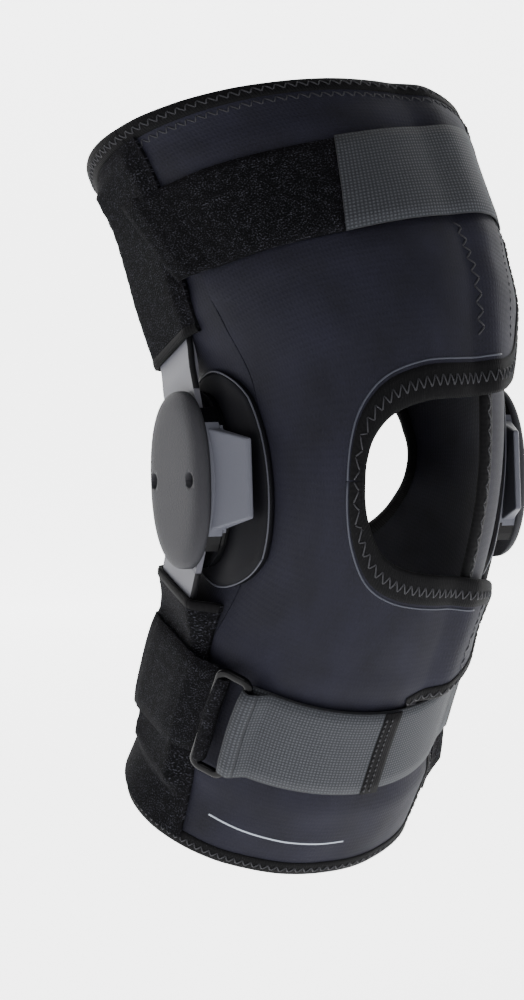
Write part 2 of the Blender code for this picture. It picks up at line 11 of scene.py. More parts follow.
import bpy
from mathutils import Vector, noise
from mathutils.geometry import delaunay_2d_cdt
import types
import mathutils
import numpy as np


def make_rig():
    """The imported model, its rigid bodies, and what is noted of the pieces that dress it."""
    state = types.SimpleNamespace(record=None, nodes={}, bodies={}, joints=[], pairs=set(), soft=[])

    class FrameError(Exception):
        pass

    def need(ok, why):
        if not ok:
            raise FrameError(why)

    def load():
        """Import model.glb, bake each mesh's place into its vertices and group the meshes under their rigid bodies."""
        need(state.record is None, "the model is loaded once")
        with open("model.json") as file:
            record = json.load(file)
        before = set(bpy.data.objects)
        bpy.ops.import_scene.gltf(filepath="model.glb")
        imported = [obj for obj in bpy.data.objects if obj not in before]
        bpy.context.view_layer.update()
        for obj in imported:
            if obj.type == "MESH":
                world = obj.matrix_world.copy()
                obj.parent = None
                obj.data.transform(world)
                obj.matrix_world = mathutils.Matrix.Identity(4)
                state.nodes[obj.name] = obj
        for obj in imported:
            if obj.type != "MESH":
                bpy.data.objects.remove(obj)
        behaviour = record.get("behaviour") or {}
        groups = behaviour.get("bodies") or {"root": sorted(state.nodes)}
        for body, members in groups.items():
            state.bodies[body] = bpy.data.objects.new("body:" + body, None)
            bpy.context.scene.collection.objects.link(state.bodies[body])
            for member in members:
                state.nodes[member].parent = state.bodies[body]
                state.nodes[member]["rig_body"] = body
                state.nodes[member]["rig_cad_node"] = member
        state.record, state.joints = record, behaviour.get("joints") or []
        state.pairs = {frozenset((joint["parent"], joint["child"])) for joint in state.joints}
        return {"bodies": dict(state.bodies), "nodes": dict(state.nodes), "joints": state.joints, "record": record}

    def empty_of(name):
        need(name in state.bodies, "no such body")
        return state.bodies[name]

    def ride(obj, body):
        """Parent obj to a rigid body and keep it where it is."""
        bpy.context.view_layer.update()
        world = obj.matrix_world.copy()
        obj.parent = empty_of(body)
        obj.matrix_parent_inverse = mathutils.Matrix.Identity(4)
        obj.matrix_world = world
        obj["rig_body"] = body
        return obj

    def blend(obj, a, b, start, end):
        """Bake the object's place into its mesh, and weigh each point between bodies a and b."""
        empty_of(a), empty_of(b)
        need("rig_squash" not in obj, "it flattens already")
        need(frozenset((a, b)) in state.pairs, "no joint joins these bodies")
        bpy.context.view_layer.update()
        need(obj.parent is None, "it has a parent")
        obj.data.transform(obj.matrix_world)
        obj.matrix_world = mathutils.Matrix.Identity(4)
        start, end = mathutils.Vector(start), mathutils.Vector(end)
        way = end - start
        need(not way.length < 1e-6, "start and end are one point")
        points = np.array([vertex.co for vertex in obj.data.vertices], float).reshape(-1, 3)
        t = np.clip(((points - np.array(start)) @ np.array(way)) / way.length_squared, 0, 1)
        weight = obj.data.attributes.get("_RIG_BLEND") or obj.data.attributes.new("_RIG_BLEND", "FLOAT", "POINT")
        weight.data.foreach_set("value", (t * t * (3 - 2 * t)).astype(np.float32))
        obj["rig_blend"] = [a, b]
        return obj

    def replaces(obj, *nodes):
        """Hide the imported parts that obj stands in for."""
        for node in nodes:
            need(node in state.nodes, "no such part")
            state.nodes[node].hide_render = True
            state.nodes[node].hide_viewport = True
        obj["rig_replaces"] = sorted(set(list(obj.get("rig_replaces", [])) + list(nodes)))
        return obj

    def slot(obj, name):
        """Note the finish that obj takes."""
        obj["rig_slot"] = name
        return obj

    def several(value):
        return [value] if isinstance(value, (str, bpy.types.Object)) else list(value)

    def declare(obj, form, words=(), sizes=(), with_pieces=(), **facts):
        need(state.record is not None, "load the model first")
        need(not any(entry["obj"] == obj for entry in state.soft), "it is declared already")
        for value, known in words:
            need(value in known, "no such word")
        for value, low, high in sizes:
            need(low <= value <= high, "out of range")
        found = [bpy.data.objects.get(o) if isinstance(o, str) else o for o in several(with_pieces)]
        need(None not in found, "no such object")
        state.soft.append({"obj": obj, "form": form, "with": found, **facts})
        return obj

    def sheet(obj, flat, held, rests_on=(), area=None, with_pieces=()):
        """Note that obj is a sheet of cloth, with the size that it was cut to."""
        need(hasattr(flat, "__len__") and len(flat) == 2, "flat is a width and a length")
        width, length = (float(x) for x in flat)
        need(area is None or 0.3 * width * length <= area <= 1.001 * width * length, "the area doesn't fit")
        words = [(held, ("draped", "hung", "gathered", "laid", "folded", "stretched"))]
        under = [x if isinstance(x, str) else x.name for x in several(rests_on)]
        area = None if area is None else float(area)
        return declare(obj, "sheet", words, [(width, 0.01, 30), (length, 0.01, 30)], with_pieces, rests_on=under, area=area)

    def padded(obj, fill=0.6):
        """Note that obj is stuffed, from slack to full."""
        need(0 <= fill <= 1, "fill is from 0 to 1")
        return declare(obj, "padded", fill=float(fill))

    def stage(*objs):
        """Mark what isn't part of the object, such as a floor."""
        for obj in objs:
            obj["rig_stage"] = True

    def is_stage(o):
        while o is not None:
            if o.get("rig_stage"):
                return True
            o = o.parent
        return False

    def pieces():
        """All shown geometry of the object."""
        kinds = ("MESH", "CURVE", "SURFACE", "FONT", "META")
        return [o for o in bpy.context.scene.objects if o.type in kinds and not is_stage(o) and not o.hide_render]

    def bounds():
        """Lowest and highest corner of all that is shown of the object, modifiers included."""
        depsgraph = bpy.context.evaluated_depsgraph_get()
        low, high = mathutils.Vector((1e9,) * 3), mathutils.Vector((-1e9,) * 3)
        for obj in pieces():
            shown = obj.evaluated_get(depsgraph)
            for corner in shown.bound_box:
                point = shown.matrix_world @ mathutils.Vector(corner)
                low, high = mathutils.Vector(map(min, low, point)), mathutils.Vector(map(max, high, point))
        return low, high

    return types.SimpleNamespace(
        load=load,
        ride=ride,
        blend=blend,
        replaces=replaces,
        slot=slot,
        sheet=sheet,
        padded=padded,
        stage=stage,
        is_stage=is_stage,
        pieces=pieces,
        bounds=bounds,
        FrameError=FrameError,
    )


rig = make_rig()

MM = 0.001
ROUND = 1.2                  # millimetres round the leg for each degree of u
FABRIC = 2.5
RISE = 4.9                   # lift of the wrap flaps over the panel under them
STRAP = 1.6

# Leg surface: v, centre x, y, z, tilt of the section (degrees), half width, front depth, back depth
LEG = (
    (-160, -1.5, 81, -136, -34, 61.5, 55, 54),
    (-130, 1, 62, -112, -33, 59.5, 59, 58),
    (-110, -0.3, 50, -95, -32, 58.2, 61, 60),
    (-85, -1.8, 33, -75.5, -32, 57.8, 62, 61),
    (-60, -2.5, 15, -56, -32, 56, 63, 62),
    (-30, -0.8, -9, -30, -26, 53.2, 61, 58),
    (0, 0, -26, 0, -6, 52, 64, 58),
    (30, 0.8, -20, 31, 15, 55.7, 71, 60),
    (40, 1, -16, 40.5, 17.5, 58, 74, 63),
    (55, 1, -8, 55, 20, 63, 77, 68),
    (85, 0, 10, 82, 20, 67, 79, 75),
    (100, -0.5, 19, 95.5, 19.5, 68, 78, 75.5),
    (120, -1.5, 31, 113.5, 19, 70, 76.5, 75),
    (135, -3.5, 39, 127, 18, 73.5, 75, 74),
    (150, -8, 47, 140, 17, 77, 73, 73),
)
TOP_V = 149
BOTTOM_V = -159
SPLIT_V = 2                  # where the sleeve's upper and lower halves meet, on the hinge's middle
LATERAL_SEAM_U = -76
FLAP_END_U = 63
CALF_END_U = 60              # edge of the front panel at the calf's rim
UNDERLAP_U = 27

PIVOT_Z = 15.5
THIGH_TILT = 21
SHANK_TILT = 32
PAD_X = 59.8
COVER_HALF = (27, 36)
UPRIGHT_X = (64.8, 67.3)
ARM_BEND = {1: (26, 50), -1: (30, 54)}
UPRIGHT_WIDTH = 30
UPRIGHT_LENGTH = 112
POCKET_HALF = 24
POCKET_END = 124

# Middle v of the thigh strap at each u
THIGH_STRAP_LINE = ((-122, 102), (-90, 100), (-60, 96.5), (-18, 94.5), (30, 103), (60, 110), (120, 109), (180, 105),
                    (238, 96))
THIGH_STRAP_HALF = 21.5
CALF_STRAP_V = -90
CALF_STRAP_HALF = 23.5
CALF_STRAP_DROP = 20
RING_U = -56
LOOP_SEAM_U = -88            # where the thigh's loop strap is sewn to the edge of the lateral pocket

SPLINE_STEP = 2.0
JOIN_GAP = 0.3               # outline points closer than this are one point
DASH_SHARE = 0.66            # share of a straight stitch's pitch that is thread
BINDING_STITCH = (3.0, 1.3, 2.1, 2.1)    # zigzag on the binding: middle, reach, pitch, height
COVER_X = 69.2               # inner face of the hinge cover
COVER_ROUNDNESS = 2.3        # exponent of the cover's superellipse outline
SCREW_Y = 18
SCREW_HOLE = 3.3

# Stage, in metres and degrees
FLOOR_Z = -0.245
STAGE_REACH = 15.0
WALL_Y = 8.5
WALL_CURVE = 2.0
WALL_TOP = 11.0
STAGE_TURN = -25
CAMERA_TURN = -25.2
CAMERA_ROLL = -1.8
CAMERA_DISTANCE = 1.7

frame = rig.load()
with open("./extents.json", "w") as report:
    json.dump({"load": [list(corner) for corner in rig.bounds()]}, report)


# ---------------------------------------------------------------- leg surface


def interpolate(table, x):
    """Smooth curve through a table whose first column is x: a cubic Hermite with averaged slopes."""
    x = min(max(x, table[0][0]), table[-1][0])
    k = max(i for i in range(len(table) - 1) if table[i][0] <= x)
    left, right = table[k], table[k + 1]
    before, after = table[max(k - 1, 0)], table[min(k + 2, len(table) - 1)]
    span = right[0] - left[0]
    t = (x - left[0]) / span
    h00, h10, h01, h11 = 2 * t**3 - 3 * t**2 + 1, t**3 - 2 * t**2 + t, 3 * t**2 - 2 * t**3, t**3 - t**2
    m0, m1 = span / (right[0] - before[0]), span / (after[0] - left[0])
    return [
        h00 * left[c] + h10 * m0 * (right[c] - before[c]) + h01 * right[c] + h11 * m1 * (after[c] - left[c])
        for c in range(1, len(left))
    ]


def smooth_step(low, high, x):
    t = min(max((x - low) / (high - low), 0), 1)
    return t * t * (3 - 2 * t)


def leg_point(u, v, off=0.0):
    cx, cy, cz, tilt, half, front, back = interpolate(LEG, v)
    angle, lean = math.radians(u), math.radians(tilt)
    depth = (front if math.cos(angle) > 0 else back) + off
    along = depth * math.cos(angle)
    return Vector((cx + (half + off) * math.sin(angle), cy - along * math.cos(lean), cz + along * math.sin(lean)))


def leg_side(side, y, z, off=0.0):
    """x of the leg surface at (y, z) on the lateral (-1) or medial (+1) side."""
    low, high = BOTTOM_V - 1, TOP_V + 1
    for _ in range(18):
        v = (low + high) / 2
        _, cy, cz, tilt, _, _, _ = interpolate(LEG, v)
        lean = math.radians(tilt)
        if (y - cy) * math.sin(lean) + (z - cz) * math.cos(lean) > 0:
            low = v
        else:
            high = v
    cx, cy, cz, tilt, half, front, back = interpolate(LEG, v)
    lean = math.radians(tilt)
    along = (z - cz) * math.sin(lean) - (y - cy) * math.cos(lean)
    share = along / ((front if along > 0 else back) + off)
    return cx + side * (half + off) * math.sqrt(max(1 - share * share, 0.05))


def arm_point(leg, h, w):
    """(y, z) on the line of an upright: h along the bar from its pivot, w behind its middle."""
    tilt = math.radians(THIGH_TILT if leg > 0 else SHANK_TILT)
    y = h * math.sin(tilt) + w * math.cos(tilt)
    return y, leg * (PIVOT_Z + h * math.cos(tilt) - w * math.sin(tilt))


def arm_x(side, leg, h):
    hinge = side * (UPRIGHT_X[0] + UPRIGHT_X[1]) / 2
    on_leg = max(side * leg_side(side, *arm_point(leg, h, w), 1.8) for w in (-15, 0, 15))
    return hinge + (side * on_leg - hinge) * smooth_step(*ARM_BEND[leg], h)


def pocket_x(side, leg, h, w):
    over_bar = abs(arm_x(side, leg, h)) + 2.3
    on_leg = side * leg_side(side, *arm_point(leg, h, w), 1.3)
    lift = 1 - smooth_step(UPRIGHT_WIDTH / 2 + 2, POCKET_HALF, abs(w))
    closed = 1 - smooth_step(UPRIGHT_LENGTH + 3, POCKET_END, h)
    return on_leg + max(over_bar - on_leg, 0) * lift * closed


def strap_line(leg, u):
    """Middle v and half width of the thigh (+1) or calf (-1) strap."""
    if leg > 0:
        return interpolate(THIGH_STRAP_LINE, u if u > -123 else u + 360)[0], THIGH_STRAP_HALF
    return CALF_STRAP_V - CALF_STRAP_DROP * smooth_step(60, 180, abs((u + 180) % 360 - 180)), CALF_STRAP_HALF


def relief(u, v):
    """Soft dents and bulges of the sleeve: pressed in by the straps, swollen beside them."""
    r = 0.55 * noise.noise(Vector((u / 26, v / 30, 3.1))) + 0.25 * noise.noise(Vector((u / 11, v / 13, 7.7)))
    for leg in (1, -1):
        middle, half = strap_line(leg, u)
        s = abs(v - middle) / half
        r += -0.7 * (1 - smooth_step(0.8, 1.15, s)) + 0.7 * math.exp(-(((s - 1.4) / 0.25) ** 2))
    return r


# ---------------------------------------------------------------- fabric kit
# A place function takes a point (a, b) of the flat cloth, in millimetres, to the middle of its thickness.


def sleeve_place(rise=0.0):
    """The outer layer rises over the panel under it, except at the calf's rim, where the under layer
    tucks inwards instead."""
    def place(a, b):
        u = a / ROUND
        off = rise * smooth_step(19, 33, u) * smooth_step(-100, -84, b)
        if not rise and 20 < u < 80:
            off = -2.9 * (1 - smooth_step(-99, -90, b)) * (1 - smooth_step(66, 76, u))
        return leg_point(u, b, -FABRIC / 2 + off + relief(u, b))
    return place


def surface(place, a, b):
    """Point and outward normal."""
    p = place(a, b)
    n = (place(a + 0.6, b) - place(a - 0.6, b)).cross(place(a, b + 0.6) - place(a, b - 0.6)).normalized()
    outward = Vector((p.x, 0, 0)) if abs(p.x) > 30 else p - Vector(interpolate(LEG, b)[:3])
    return p, n if n.dot(outward) > 0 else -n


def spline(points):
    """Catmull-Rom curve through 2-D points, at about equal steps."""
    out = []
    n = len(points)
    for i in range(n - 1):
        p1, p2 = Vector(points[i]), Vector(points[i + 1])
        p0 = Vector(points[i - 1]) if i else p1
        p3 = Vector(points[i + 2]) if i + 2 < n else p2
        count = max(round((p2 - p1).length / SPLINE_STEP), 1)
        for k in range(count):
            t = k / count
            out.append(0.5 * (2 * p1 + (p2 - p0) * t + (2 * p0 - 5 * p1 + 4 * p2 - p3) * t * t
                              + (3 * p1 - p0 - 3 * p2 + p3) * t**3))
    out.append(Vector(points[-1]))
    return out


def even(path, step):
    """The path at equal steps."""
    lengths = [0.0]
    for p, q in zip(path, path[1:]):
        lengths.append(lengths[-1] + (q - p).length)
    count = max(round(lengths[-1] / step), 2)
    out, k = [], 0
    for i in range(count + 1):
        s = lengths[-1] * i / count
        while k < len(path) - 2 and lengths[k + 1] < s:
            k += 1
        span = lengths[k + 1] - lengths[k]
        out.append(path[k].lerp(path[k + 1], (s - lengths[k]) / span if span else 0))
    return out


def cloth_plane(points):
    """(u, v) points as points of the flat cloth."""
    return [(u * ROUND, v) for u, v in points]


class Build:
    """Mesh data gathered from several sheets, tapes and threads."""

    def __init__(self):
        self.points, self.faces, self.normals, self.uvs = [], [], [], []

    def face(self, corners, normals=None, uvs=None):
        self.faces.append(corners)
        self.normals.append(normals)
        self.uvs.append(uvs or [(0, 0)] * len(corners))

    def turned(self, corners, keep):
        """A face, turned over unless keep is true."""
        self.face(corners if keep else corners[::-1])

    def loft(self, rings, side):
        """A closed skin over rings of points, with both ends capped."""
        rows = []
        for ring in rings:
            rows.append(list(range(len(self.points), len(self.points) + len(ring))))
            self.points += ring
        count = len(rings[0])
        for a, b in zip(rows, rows[1:]):
            for i in range(count):
                j = (i + 1) % count
                self.turned([a[i], a[j], b[j], b[i]], side > 0)
        self.turned(rows[-1], side > 0)
        self.turned(rows[0], side < 0)

    def make(self, name, material, slot):
        mesh = bpy.data.meshes.new(name)
        mesh.from_pydata([tuple(p * MM) for p in self.points], [], self.faces)
        mesh.materials.append(material)
        mesh.shade_smooth()
        layer = mesh.uv_layers.new(name="weave")
        flat = [c for uvs in self.uvs for c in uvs]
        layer.data.foreach_set("uv", [x * MM for c in flat for x in c])
        if any(self.normals):
            smooth = [tuple(v.vector) for v in mesh.corner_normals]
            at, wanted = 0, []
            for corners, normals in zip(self.faces, self.normals):
                for k in range(len(corners)):
                    wanted.append(tuple(normals[k]) if normals else smooth[at + k])
                at += len(corners)
            mesh.normals_split_custom_set(wanted)
        obj = bpy.data.objects.new(name, mesh)
        bpy.context.scene.collection.objects.link(obj)
        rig.slot(obj, slot)
        return obj


def inside(outline, x, y):
    hit = False
    for p, q in zip(outline, outline[1:] + outline[:1]):
        if (p.y > y) != (q.y > y) and x < (q.x - p.x) * (y - p.y) / (q.y - p.y) + p.x:
            hit = not hit
    return hit


def add_sheet(build, outline, place, thickness=FABRIC, spacing=4.0):
    """A sheet of cloth cut to a counter-clockwise outline of the flat cloth."""
    flat = list(outline)
    count = len(flat)
    low_x, high_x = min(p.x for p in flat), max(p.x for p in flat)
    low_y, high_y = min(p.y for p in flat), max(p.y for p in flat)
    rows = int((high_y - low_y) / (spacing * 0.87)) + 1
    for j in range(rows):
        y = low_y + spacing * 0.87 * (j + 0.5)
        x = low_x + spacing * (0.5 if j % 2 else 0.25)
        while x < high_x:
            q = Vector((x, y))
            if inside(outline, x, y) and min((p - q).length_squared for p in outline) > (0.5 * spacing) ** 2:
                flat.append(q)
            x += spacing
    edges = [(i, (i + 1) % count) for i in range(count)]
    points, _, faces, origin, _, _ = delaunay_2d_cdt(flat, edges, [], 1, 1e-5)
    at = {}
    for new, old in enumerate(origin):
        for o in old:
            at[o] = new
    start, n = len(build.points), len(points)
    found = [surface(place, p.x, p.y) for p in points]
    build.points += [p + nrm * thickness / 2 for p, nrm in found] + [p - nrm * thickness / 2 for p, nrm in found]
    a, b, c = (found[i] for i in faces[0])
    flip = (b[0] - a[0]).cross(c[0] - a[0]).dot(a[1]) < 0
    for face in faces:
        face = list(reversed(face)) if flip else list(face)
        uv = [tuple(points[i]) for i in face]
        build.face([start + i for i in face], [found[i][1] for i in face], uv)
        back = face[::-1]
        build.face([start + n + i for i in back], [-found[i][1] for i in back], uv[::-1])
    for i, j in edges:
        i, j = at[i], at[j]
        if i == j:
            continue
        corners = [start + i, start + n + i, start + n + j, start + j]
        corners = corners[::-1] if flip else corners
        side = (build.points[corners[1]] - build.points[corners[0]]).cross(
            build.points[corners[2]] - build.points[corners[0]]).normalized()
        build.face(corners, [side] * 4, [tuple(points[i])] * 2 + [tuple(points[j])] * 2)


TAPE = ((6.6, 1.3), (6.4, 1.75), (5.2, 1.95), (3.2, 2.05), (1.2, 1.95), (-0.2, 1.4), (-0.8, 0.5), (-0.8, -0.5),
        (-0.2, -1.4), (1.2, -1.9), (5.4, -1.9), (5.6, -1.3))


def frames(path):
    """For each point of a path on the flat cloth: (point, inward direction on the left of travel)."""
    out = []
    for i, p in enumerate(path):
        t = (path[min(i + 1, len(path) - 1)] - path[max(i - 1, 0)]).normalized()
        out.append((p, Vector((-t.y, t.x))))
    return out


def add_tape(build, path, place, section=TAPE):
    """Binding tape folded over an edge."""
    start, m = len(build.points), len(section)
    for p, inward in frames(path):
        for d, o in section:
            q = p + inward * d
            point, normal = surface(place, q.x, q.y)
            build.points.append(point + normal * o)
    n = len(path)
    a, b, c = build.points[start], build.points[start + 1], build.points[start + m]
    flip = (b - a).cross(c - a).dot(surface(place, path[0].x, path[0].y)[1]) > 0
    for i in range(n - 1):
        for k in range(m - 1):
            a, b = start + i * m + k, start + (i + 1) * m + k
            corners = [a, b, b + 1, a + 1]
            uv = [(i * 2.0, k * 1.5), (i * 2.0 + 2, k * 1.5), (i * 2.0 + 2, k * 1.5 + 1.5), (i * 2.0, k * 1.5 + 1.5)]
            if flip:
                corners, uv = corners[::-1], uv[::-1]
            build.face(corners, None, uv)


def add_thread(build, points, normals, radius, sides=5, squash=0.75):
    """A thread along 3-D points."""
    start, n = len(build.points), len(points)
    for i in range(n):
        t = (points[min(i + 1, n - 1)] - points[max(i - 1, 0)]).normalized()
        side = t.cross(normals[i]).normalized()
        for k in range(sides):
            angle = 2 * math.pi * k / sides
            build.points.append(points[i] + side * radius * math.cos(angle)
                                + normals[i] * radius * squash * math.sin(angle))
    for i in range(n - 1):
        for k in range(sides):
            l = (k + 1) % sides
            a, b = start + i * sides, start + (i + 1) * sides
            build.face([a + k, a + l, b + l, b + k])
    build.face([start + k for k in reversed(range(sides))])
    build.face([start + (n - 1) * sides + k for k in range(sides)])


def add_zigzag(build, path, place, middle, reach, pitch, height, radius=0.32):
    """A zigzag stitch between two lines beside a path: each leg is its own short thread."""
    along = frames(even(path, pitch))
    for i in range(len(along) - 1):
        (p, a), (q, b) = along[i], along[i + 1]
        s = reach if i % 2 else -reach
        ends = (p + a * (middle - s), q + b * (middle + s))
        points, normals = [], []
        for t in (0.04, 0.3, 0.7, 0.96):
            c = ends[0].lerp(ends[1], t)
            point, normal = surface(place, c.x, c.y)
            points.append(point + normal * (height + (0.12 if 0.2 < t < 0.8 else -0.25)))
            normals.append(normal)
        add_thread(build, points, normals, radius)


def add_dashes(build, path, place, pitch, height, radius=0.28):
    """A straight row of stitches on a path."""
    along = frames(even(path, pitch))
    for (p, _), (q, _) in zip(along, along[1:]):
        points, normals = [], []
        for t in (0.5 - DASH_SHARE / 2, 0.5, 0.5 + DASH_SHARE / 2):
            c = p.lerp(q, t)
            point, normal = surface(place, c.x, c.y)
            points.append(point + normal * (height + (0.1 if t == 0.5 else -0.2)))
            normals.append(normal)
        add_thread(build, points, normals, radius)


def add_ribbon(build, stations, thickness=STRAP, rows=8, side=1):
    """A strap along stations (u, off, v, half, skew): it may fold back over itself. skew leads the
    upper edge forward by that many degrees and holds the lower edge back."""
    path = [Vector((s[0] * ROUND, s[1])) for s in stations]
    n, start = len(path), len(build.points)
    profile = [1 - 0.55 * abs(2 * r / rows - 1) ** 8 for r in range(rows + 1)]
    length = 0.0
    lengths = []
    for i in range(n):
        before, after = path[max(i - 1, 0)], path[min(i + 1, n - 1)]
        t = (after - before).normalized()
        normal = Vector((-t.y, t.x)) * side
        if i:
            length += (path[i] - path[i - 1]).length
        lengths.append(length)
        for face in (1, -1):
            for r in range(rows + 1):
                across = 2 * r / rows - 1
                v = stations[i][2] + stations[i][3] * across
                q = path[i] + normal * face * thickness / 2 * profile[r]
                build.points.append(leg_point(q.x / ROUND + stations[i][4] * across, v, q.y))
    m = 2 * (rows + 1)

    def quad(a, b, c, d, uv):
        corners = [start + x for x in (a, b, c, d)]
        if side < 0:
            corners, uv = corners[::-1], uv[::-1]
        build.face(corners, None, uv)

    for i in range(n - 1):
        for r in range(rows):
            v0, v1 = stations[i][3] * (2 * r / rows - 1), stations[i][3] * (2 * (r + 1) / rows - 1)
            uv = [(lengths[i], v0), (lengths[i + 1], v0), (lengths[i + 1], v1), (lengths[i], v1)]
            a, b = i * m + r, (i + 1) * m + r
            quad(a, b, b + 1, a + 1, uv)
            a, b = a + rows + 1, b + rows + 1
            quad(a + 1, b + 1, b, a, uv[::-1])
        a, b = i * m, (i + 1) * m
        quad(b, a, a + rows + 1, b + rows + 1, [(lengths[i], 0)] * 4)
        a, b = a + rows, b + rows
        quad(a, b, b + rows + 1, a + rows + 1, [(lengths[i], 0)] * 4)
    for i, turn in ((0, 1), (n - 1, -1)):
        for r in range(rows):
            a = i * m + r
            corners = (a, a + 1, a + rows + 2, a + rows + 1)
            quad(*(corners if turn > 0 else corners[::-1]), [(lengths[i], 0)] * 4)


# ---------------------------------------------------------------- materials


def linear(r, g, b):
    return tuple((c / 255 / 12.92) if c <= 10 else ((c / 255 + 0.055) / 1.055) ** 2.4 for c in (r, g, b)) + (1,)


class Finish:
    """A Principled material with helpers for procedural detail."""

    def __init__(self, name, colour, roughness, metallic=0.0, sheen=0.0, specular=0.5):
        self.material = bpy.data.materials.new(name)
        self.material.use_nodes = True
        self.nodes, self.links = self.material.node_tree.nodes, self.material.node_tree.links
        self.shader = self.nodes["Principled BSDF"]
        self.shader.inputs["Base Color"].default_value = linear(*colour)
        self.shader.inputs["Roughness"].default_value = roughness
        self.shader.inputs["Metallic"].default_value = metallic
        self.shader.inputs["Sheen Weight"].default_value = sheen
        self.shader.inputs["Sheen Roughness"].default_value = 0.5
        self.shader.inputs["Specular IOR Level"].default_value = specular
        self.bump = None

    def node(self, kind, **values):
        node = self.nodes.new(kind)
        for key, value in values.items():
            if key in node.inputs:
                node.inputs[key].default_value = value
            else:
                setattr(node, key, value)
        return node

    def coordinates(self, use_uv, scale=(1, 1, 1)):
        source = self.node("ShaderNodeTexCoord")
        mapping = self.node("ShaderNodeMapping")
        mapping.inputs["Scale"].default_value = scale
        self.links.new(source.outputs["UV" if use_uv else "Object"], mapping.inputs["Vector"])
        return mapping.outputs["Vector"]

    def noise(self, vector, scale, detail=2.0):
        node = self.node("ShaderNodeTexNoise", Scale=scale, Detail=detail)
        self.links.new(vector, node.inputs["Vector"])
        return node.outputs["Fac"]

    def wave(self, vector, scale, direction):
        node = self.node("ShaderNodeTexWave", Scale=scale, Distortion=0.0)
        node.bands_direction = direction
        self.links.new(vector, node.inputs["Vector"])
        return node.outputs["Fac"]

    def mix(self, operation, a, b):
        node = self.node("ShaderNodeMath")
        node.operation = operation
        for k, value in enumerate((a, b)):
            if isinstance(value, (int, float)):
                node.inputs[k].default_value = value
            else:
                self.links.new(value, node.inputs[k])
        return node.outputs[0]

    def add_bump(self, height, strength, distance):
        node = self.node("ShaderNodeBump", Strength=strength, Distance=distance)
        self.links.new(height, node.inputs["Height"])
        if self.bump:
            self.links.new(self.bump.outputs["Normal"], node.inputs["Normal"])
        self.links.new(node.outputs["Normal"], self.shader.inputs["Normal"])
        self.bump = node

    def ramp(self, factor, stops):
        node = self.node("ShaderNodeValToRGB")
        node.color_ramp.elements[0].position, node.color_ramp.elements[0].color = stops[0]
        node.color_ramp.elements[1].position, node.color_ramp.elements[1].color = stops[-1]
        for position, colour in stops[1:-1]:
            node.color_ramp.elements.new(position).color = colour
        self.links.new(factor, node.inputs["Fac"])
        self.links.new(node.outputs["Color"], self.shader.inputs["Base Color"])


def knit():
    f = Finish("sleeve_fabric", (14, 14, 22), 0.8, specular=0.12)
    uv = f.coordinates(True)
    ribs = f.mix("MULTIPLY", f.wave(uv, 190, "X"), f.wave(uv, 150, "Y"))
    cloud = f.noise(uv, 45, 4.0)
    grain = f.noise(uv, 1500, 2.0)
    f.ramp(f.mix("ADD", f.mix("MULTIPLY", cloud, 0.45), f.mix("MULTIPLY", grain, 0.55)),
           [(0.3, linear(5, 5, 9)), (0.7, linear(19, 19, 30))])
    f.add_bump(ribs, 0.25, 0.0003)
    f.add_bump(grain, 0.25, 0.0003)
    return f.material


def loop_pile():
    f = Finish("loop_fabric", (8, 8, 10), 0.95, specular=0.04)
    uv = f.coordinates(True)
    tufts = f.noise(uv, 1500, 3.0)
    patches = f.noise(uv, 260, 2.0)
    f.ramp(f.mix("ADD", f.mix("MULTIPLY", tufts, 0.8), f.mix("MULTIPLY", patches, 0.2)),
           [(0.4, linear(2, 2, 3)), (0.55, linear(9, 9, 11)), (0.68, linear(46, 46, 52))])
    f.add_bump(tufts, 0.8, 0.0006)
    return f.material


def webbing():
    f = Finish("strap_webbing", (40, 44, 47), 0.85, sheen=0.02, specular=0.1)
    uv = f.coordinates(True)
    dots = f.mix("MULTIPLY", f.wave(uv, 210, "X"), f.wave(uv, 210, "Y"))
    grain = f.noise(uv, 1700, 2.0)
    f.ramp(f.mix("ADD", f.mix("MULTIPLY", dots, 0.6), f.mix("MULTIPLY", grain, 0.5)),
           [(0.12, linear(20, 21, 24)), (0.8, linear(52, 54, 58))])
    f.add_bump(dots, 0.5, 0.0004)
    return f.material


def tape_weave():
    f = Finish("binding_tape", (4, 4, 5), 0.8, specular=0.07)
    uv = f.coordinates(True)
    f.add_bump(f.wave(uv, 260, "X"), 0.35, 0.0003)
    f.add_bump(f.noise(uv, 700, 2.0), 0.3, 0.0004)
    return f.material


def plastic(name, colour, roughness, grain, specular):
    f = Finish(name, colour, roughness, specular=specular)
    if grain:
        f.add_bump(f.noise(f.coordinates(False), 1500, 3.0), grain, 0.0002)
    return f.material


def metal(name, colour, roughness):
    f = Finish(name, colour, roughness, 1.0)
    f.add_bump(f.noise(f.coordinates(False, (1, 1, 14)), 420, 2.0), 0.08, 0.0002)
    return f.material


KNIT, LOOP, WEB, TAPE_WEAVE = knit(), loop_pile(), webbing(), tape_weave()
THREAD = Finish("stitch_thread", (24, 24, 28), 0.65, specular=0.2).material
PIPING = Finish("piping", (40, 42, 50), 0.6, specular=0.2).material
COVER = plastic("cover_plastic", (34, 34, 37), 0.6, 1.0, 0.07)
HOUSING = plastic("housing_plastic", (62, 63, 70), 0.5, 0.4, 0.12)
BLACK = plastic("black_plastic", (4, 4, 5), 0.25, 0, 0.07)
FOAM = plastic("condyle_foam", (7, 7, 10), 0.6, 0.1, 0.06)
# Near-black colour for the bars' side edges: painted shade.
PAINTED_SHADE_BAR_EDGE = Finish("bar_edge_painted_shade", (12, 12, 14), 0.5, specular=0.1).material
# Lighter colour for the condyle pad's rim thread: a painted highlight along its edge.
PAINTED_HIGHLIGHT_PAD_RIM = Finish("pad_rim", (44, 45, 52), 0.5, specular=0.2).material
ALUMINIUM = plastic("painted_aluminium", (68, 68, 74), 0.45, 0.2, 0.12)
STEEL = metal("plated_steel", (150, 150, 153), 0.32)
DARK_STEEL = metal("blackened_steel", (24, 24, 26), 0.35)


# ---------------------------------------------------------------- sleeve

UPPER = ("thigh", "lateral_hinge", (0, 0.005, 0.078), (0, 0, 0.008))
LOWER = ("lateral_hinge", "shank", (0, 0, -0.006), (0, 0.005, -0.074))

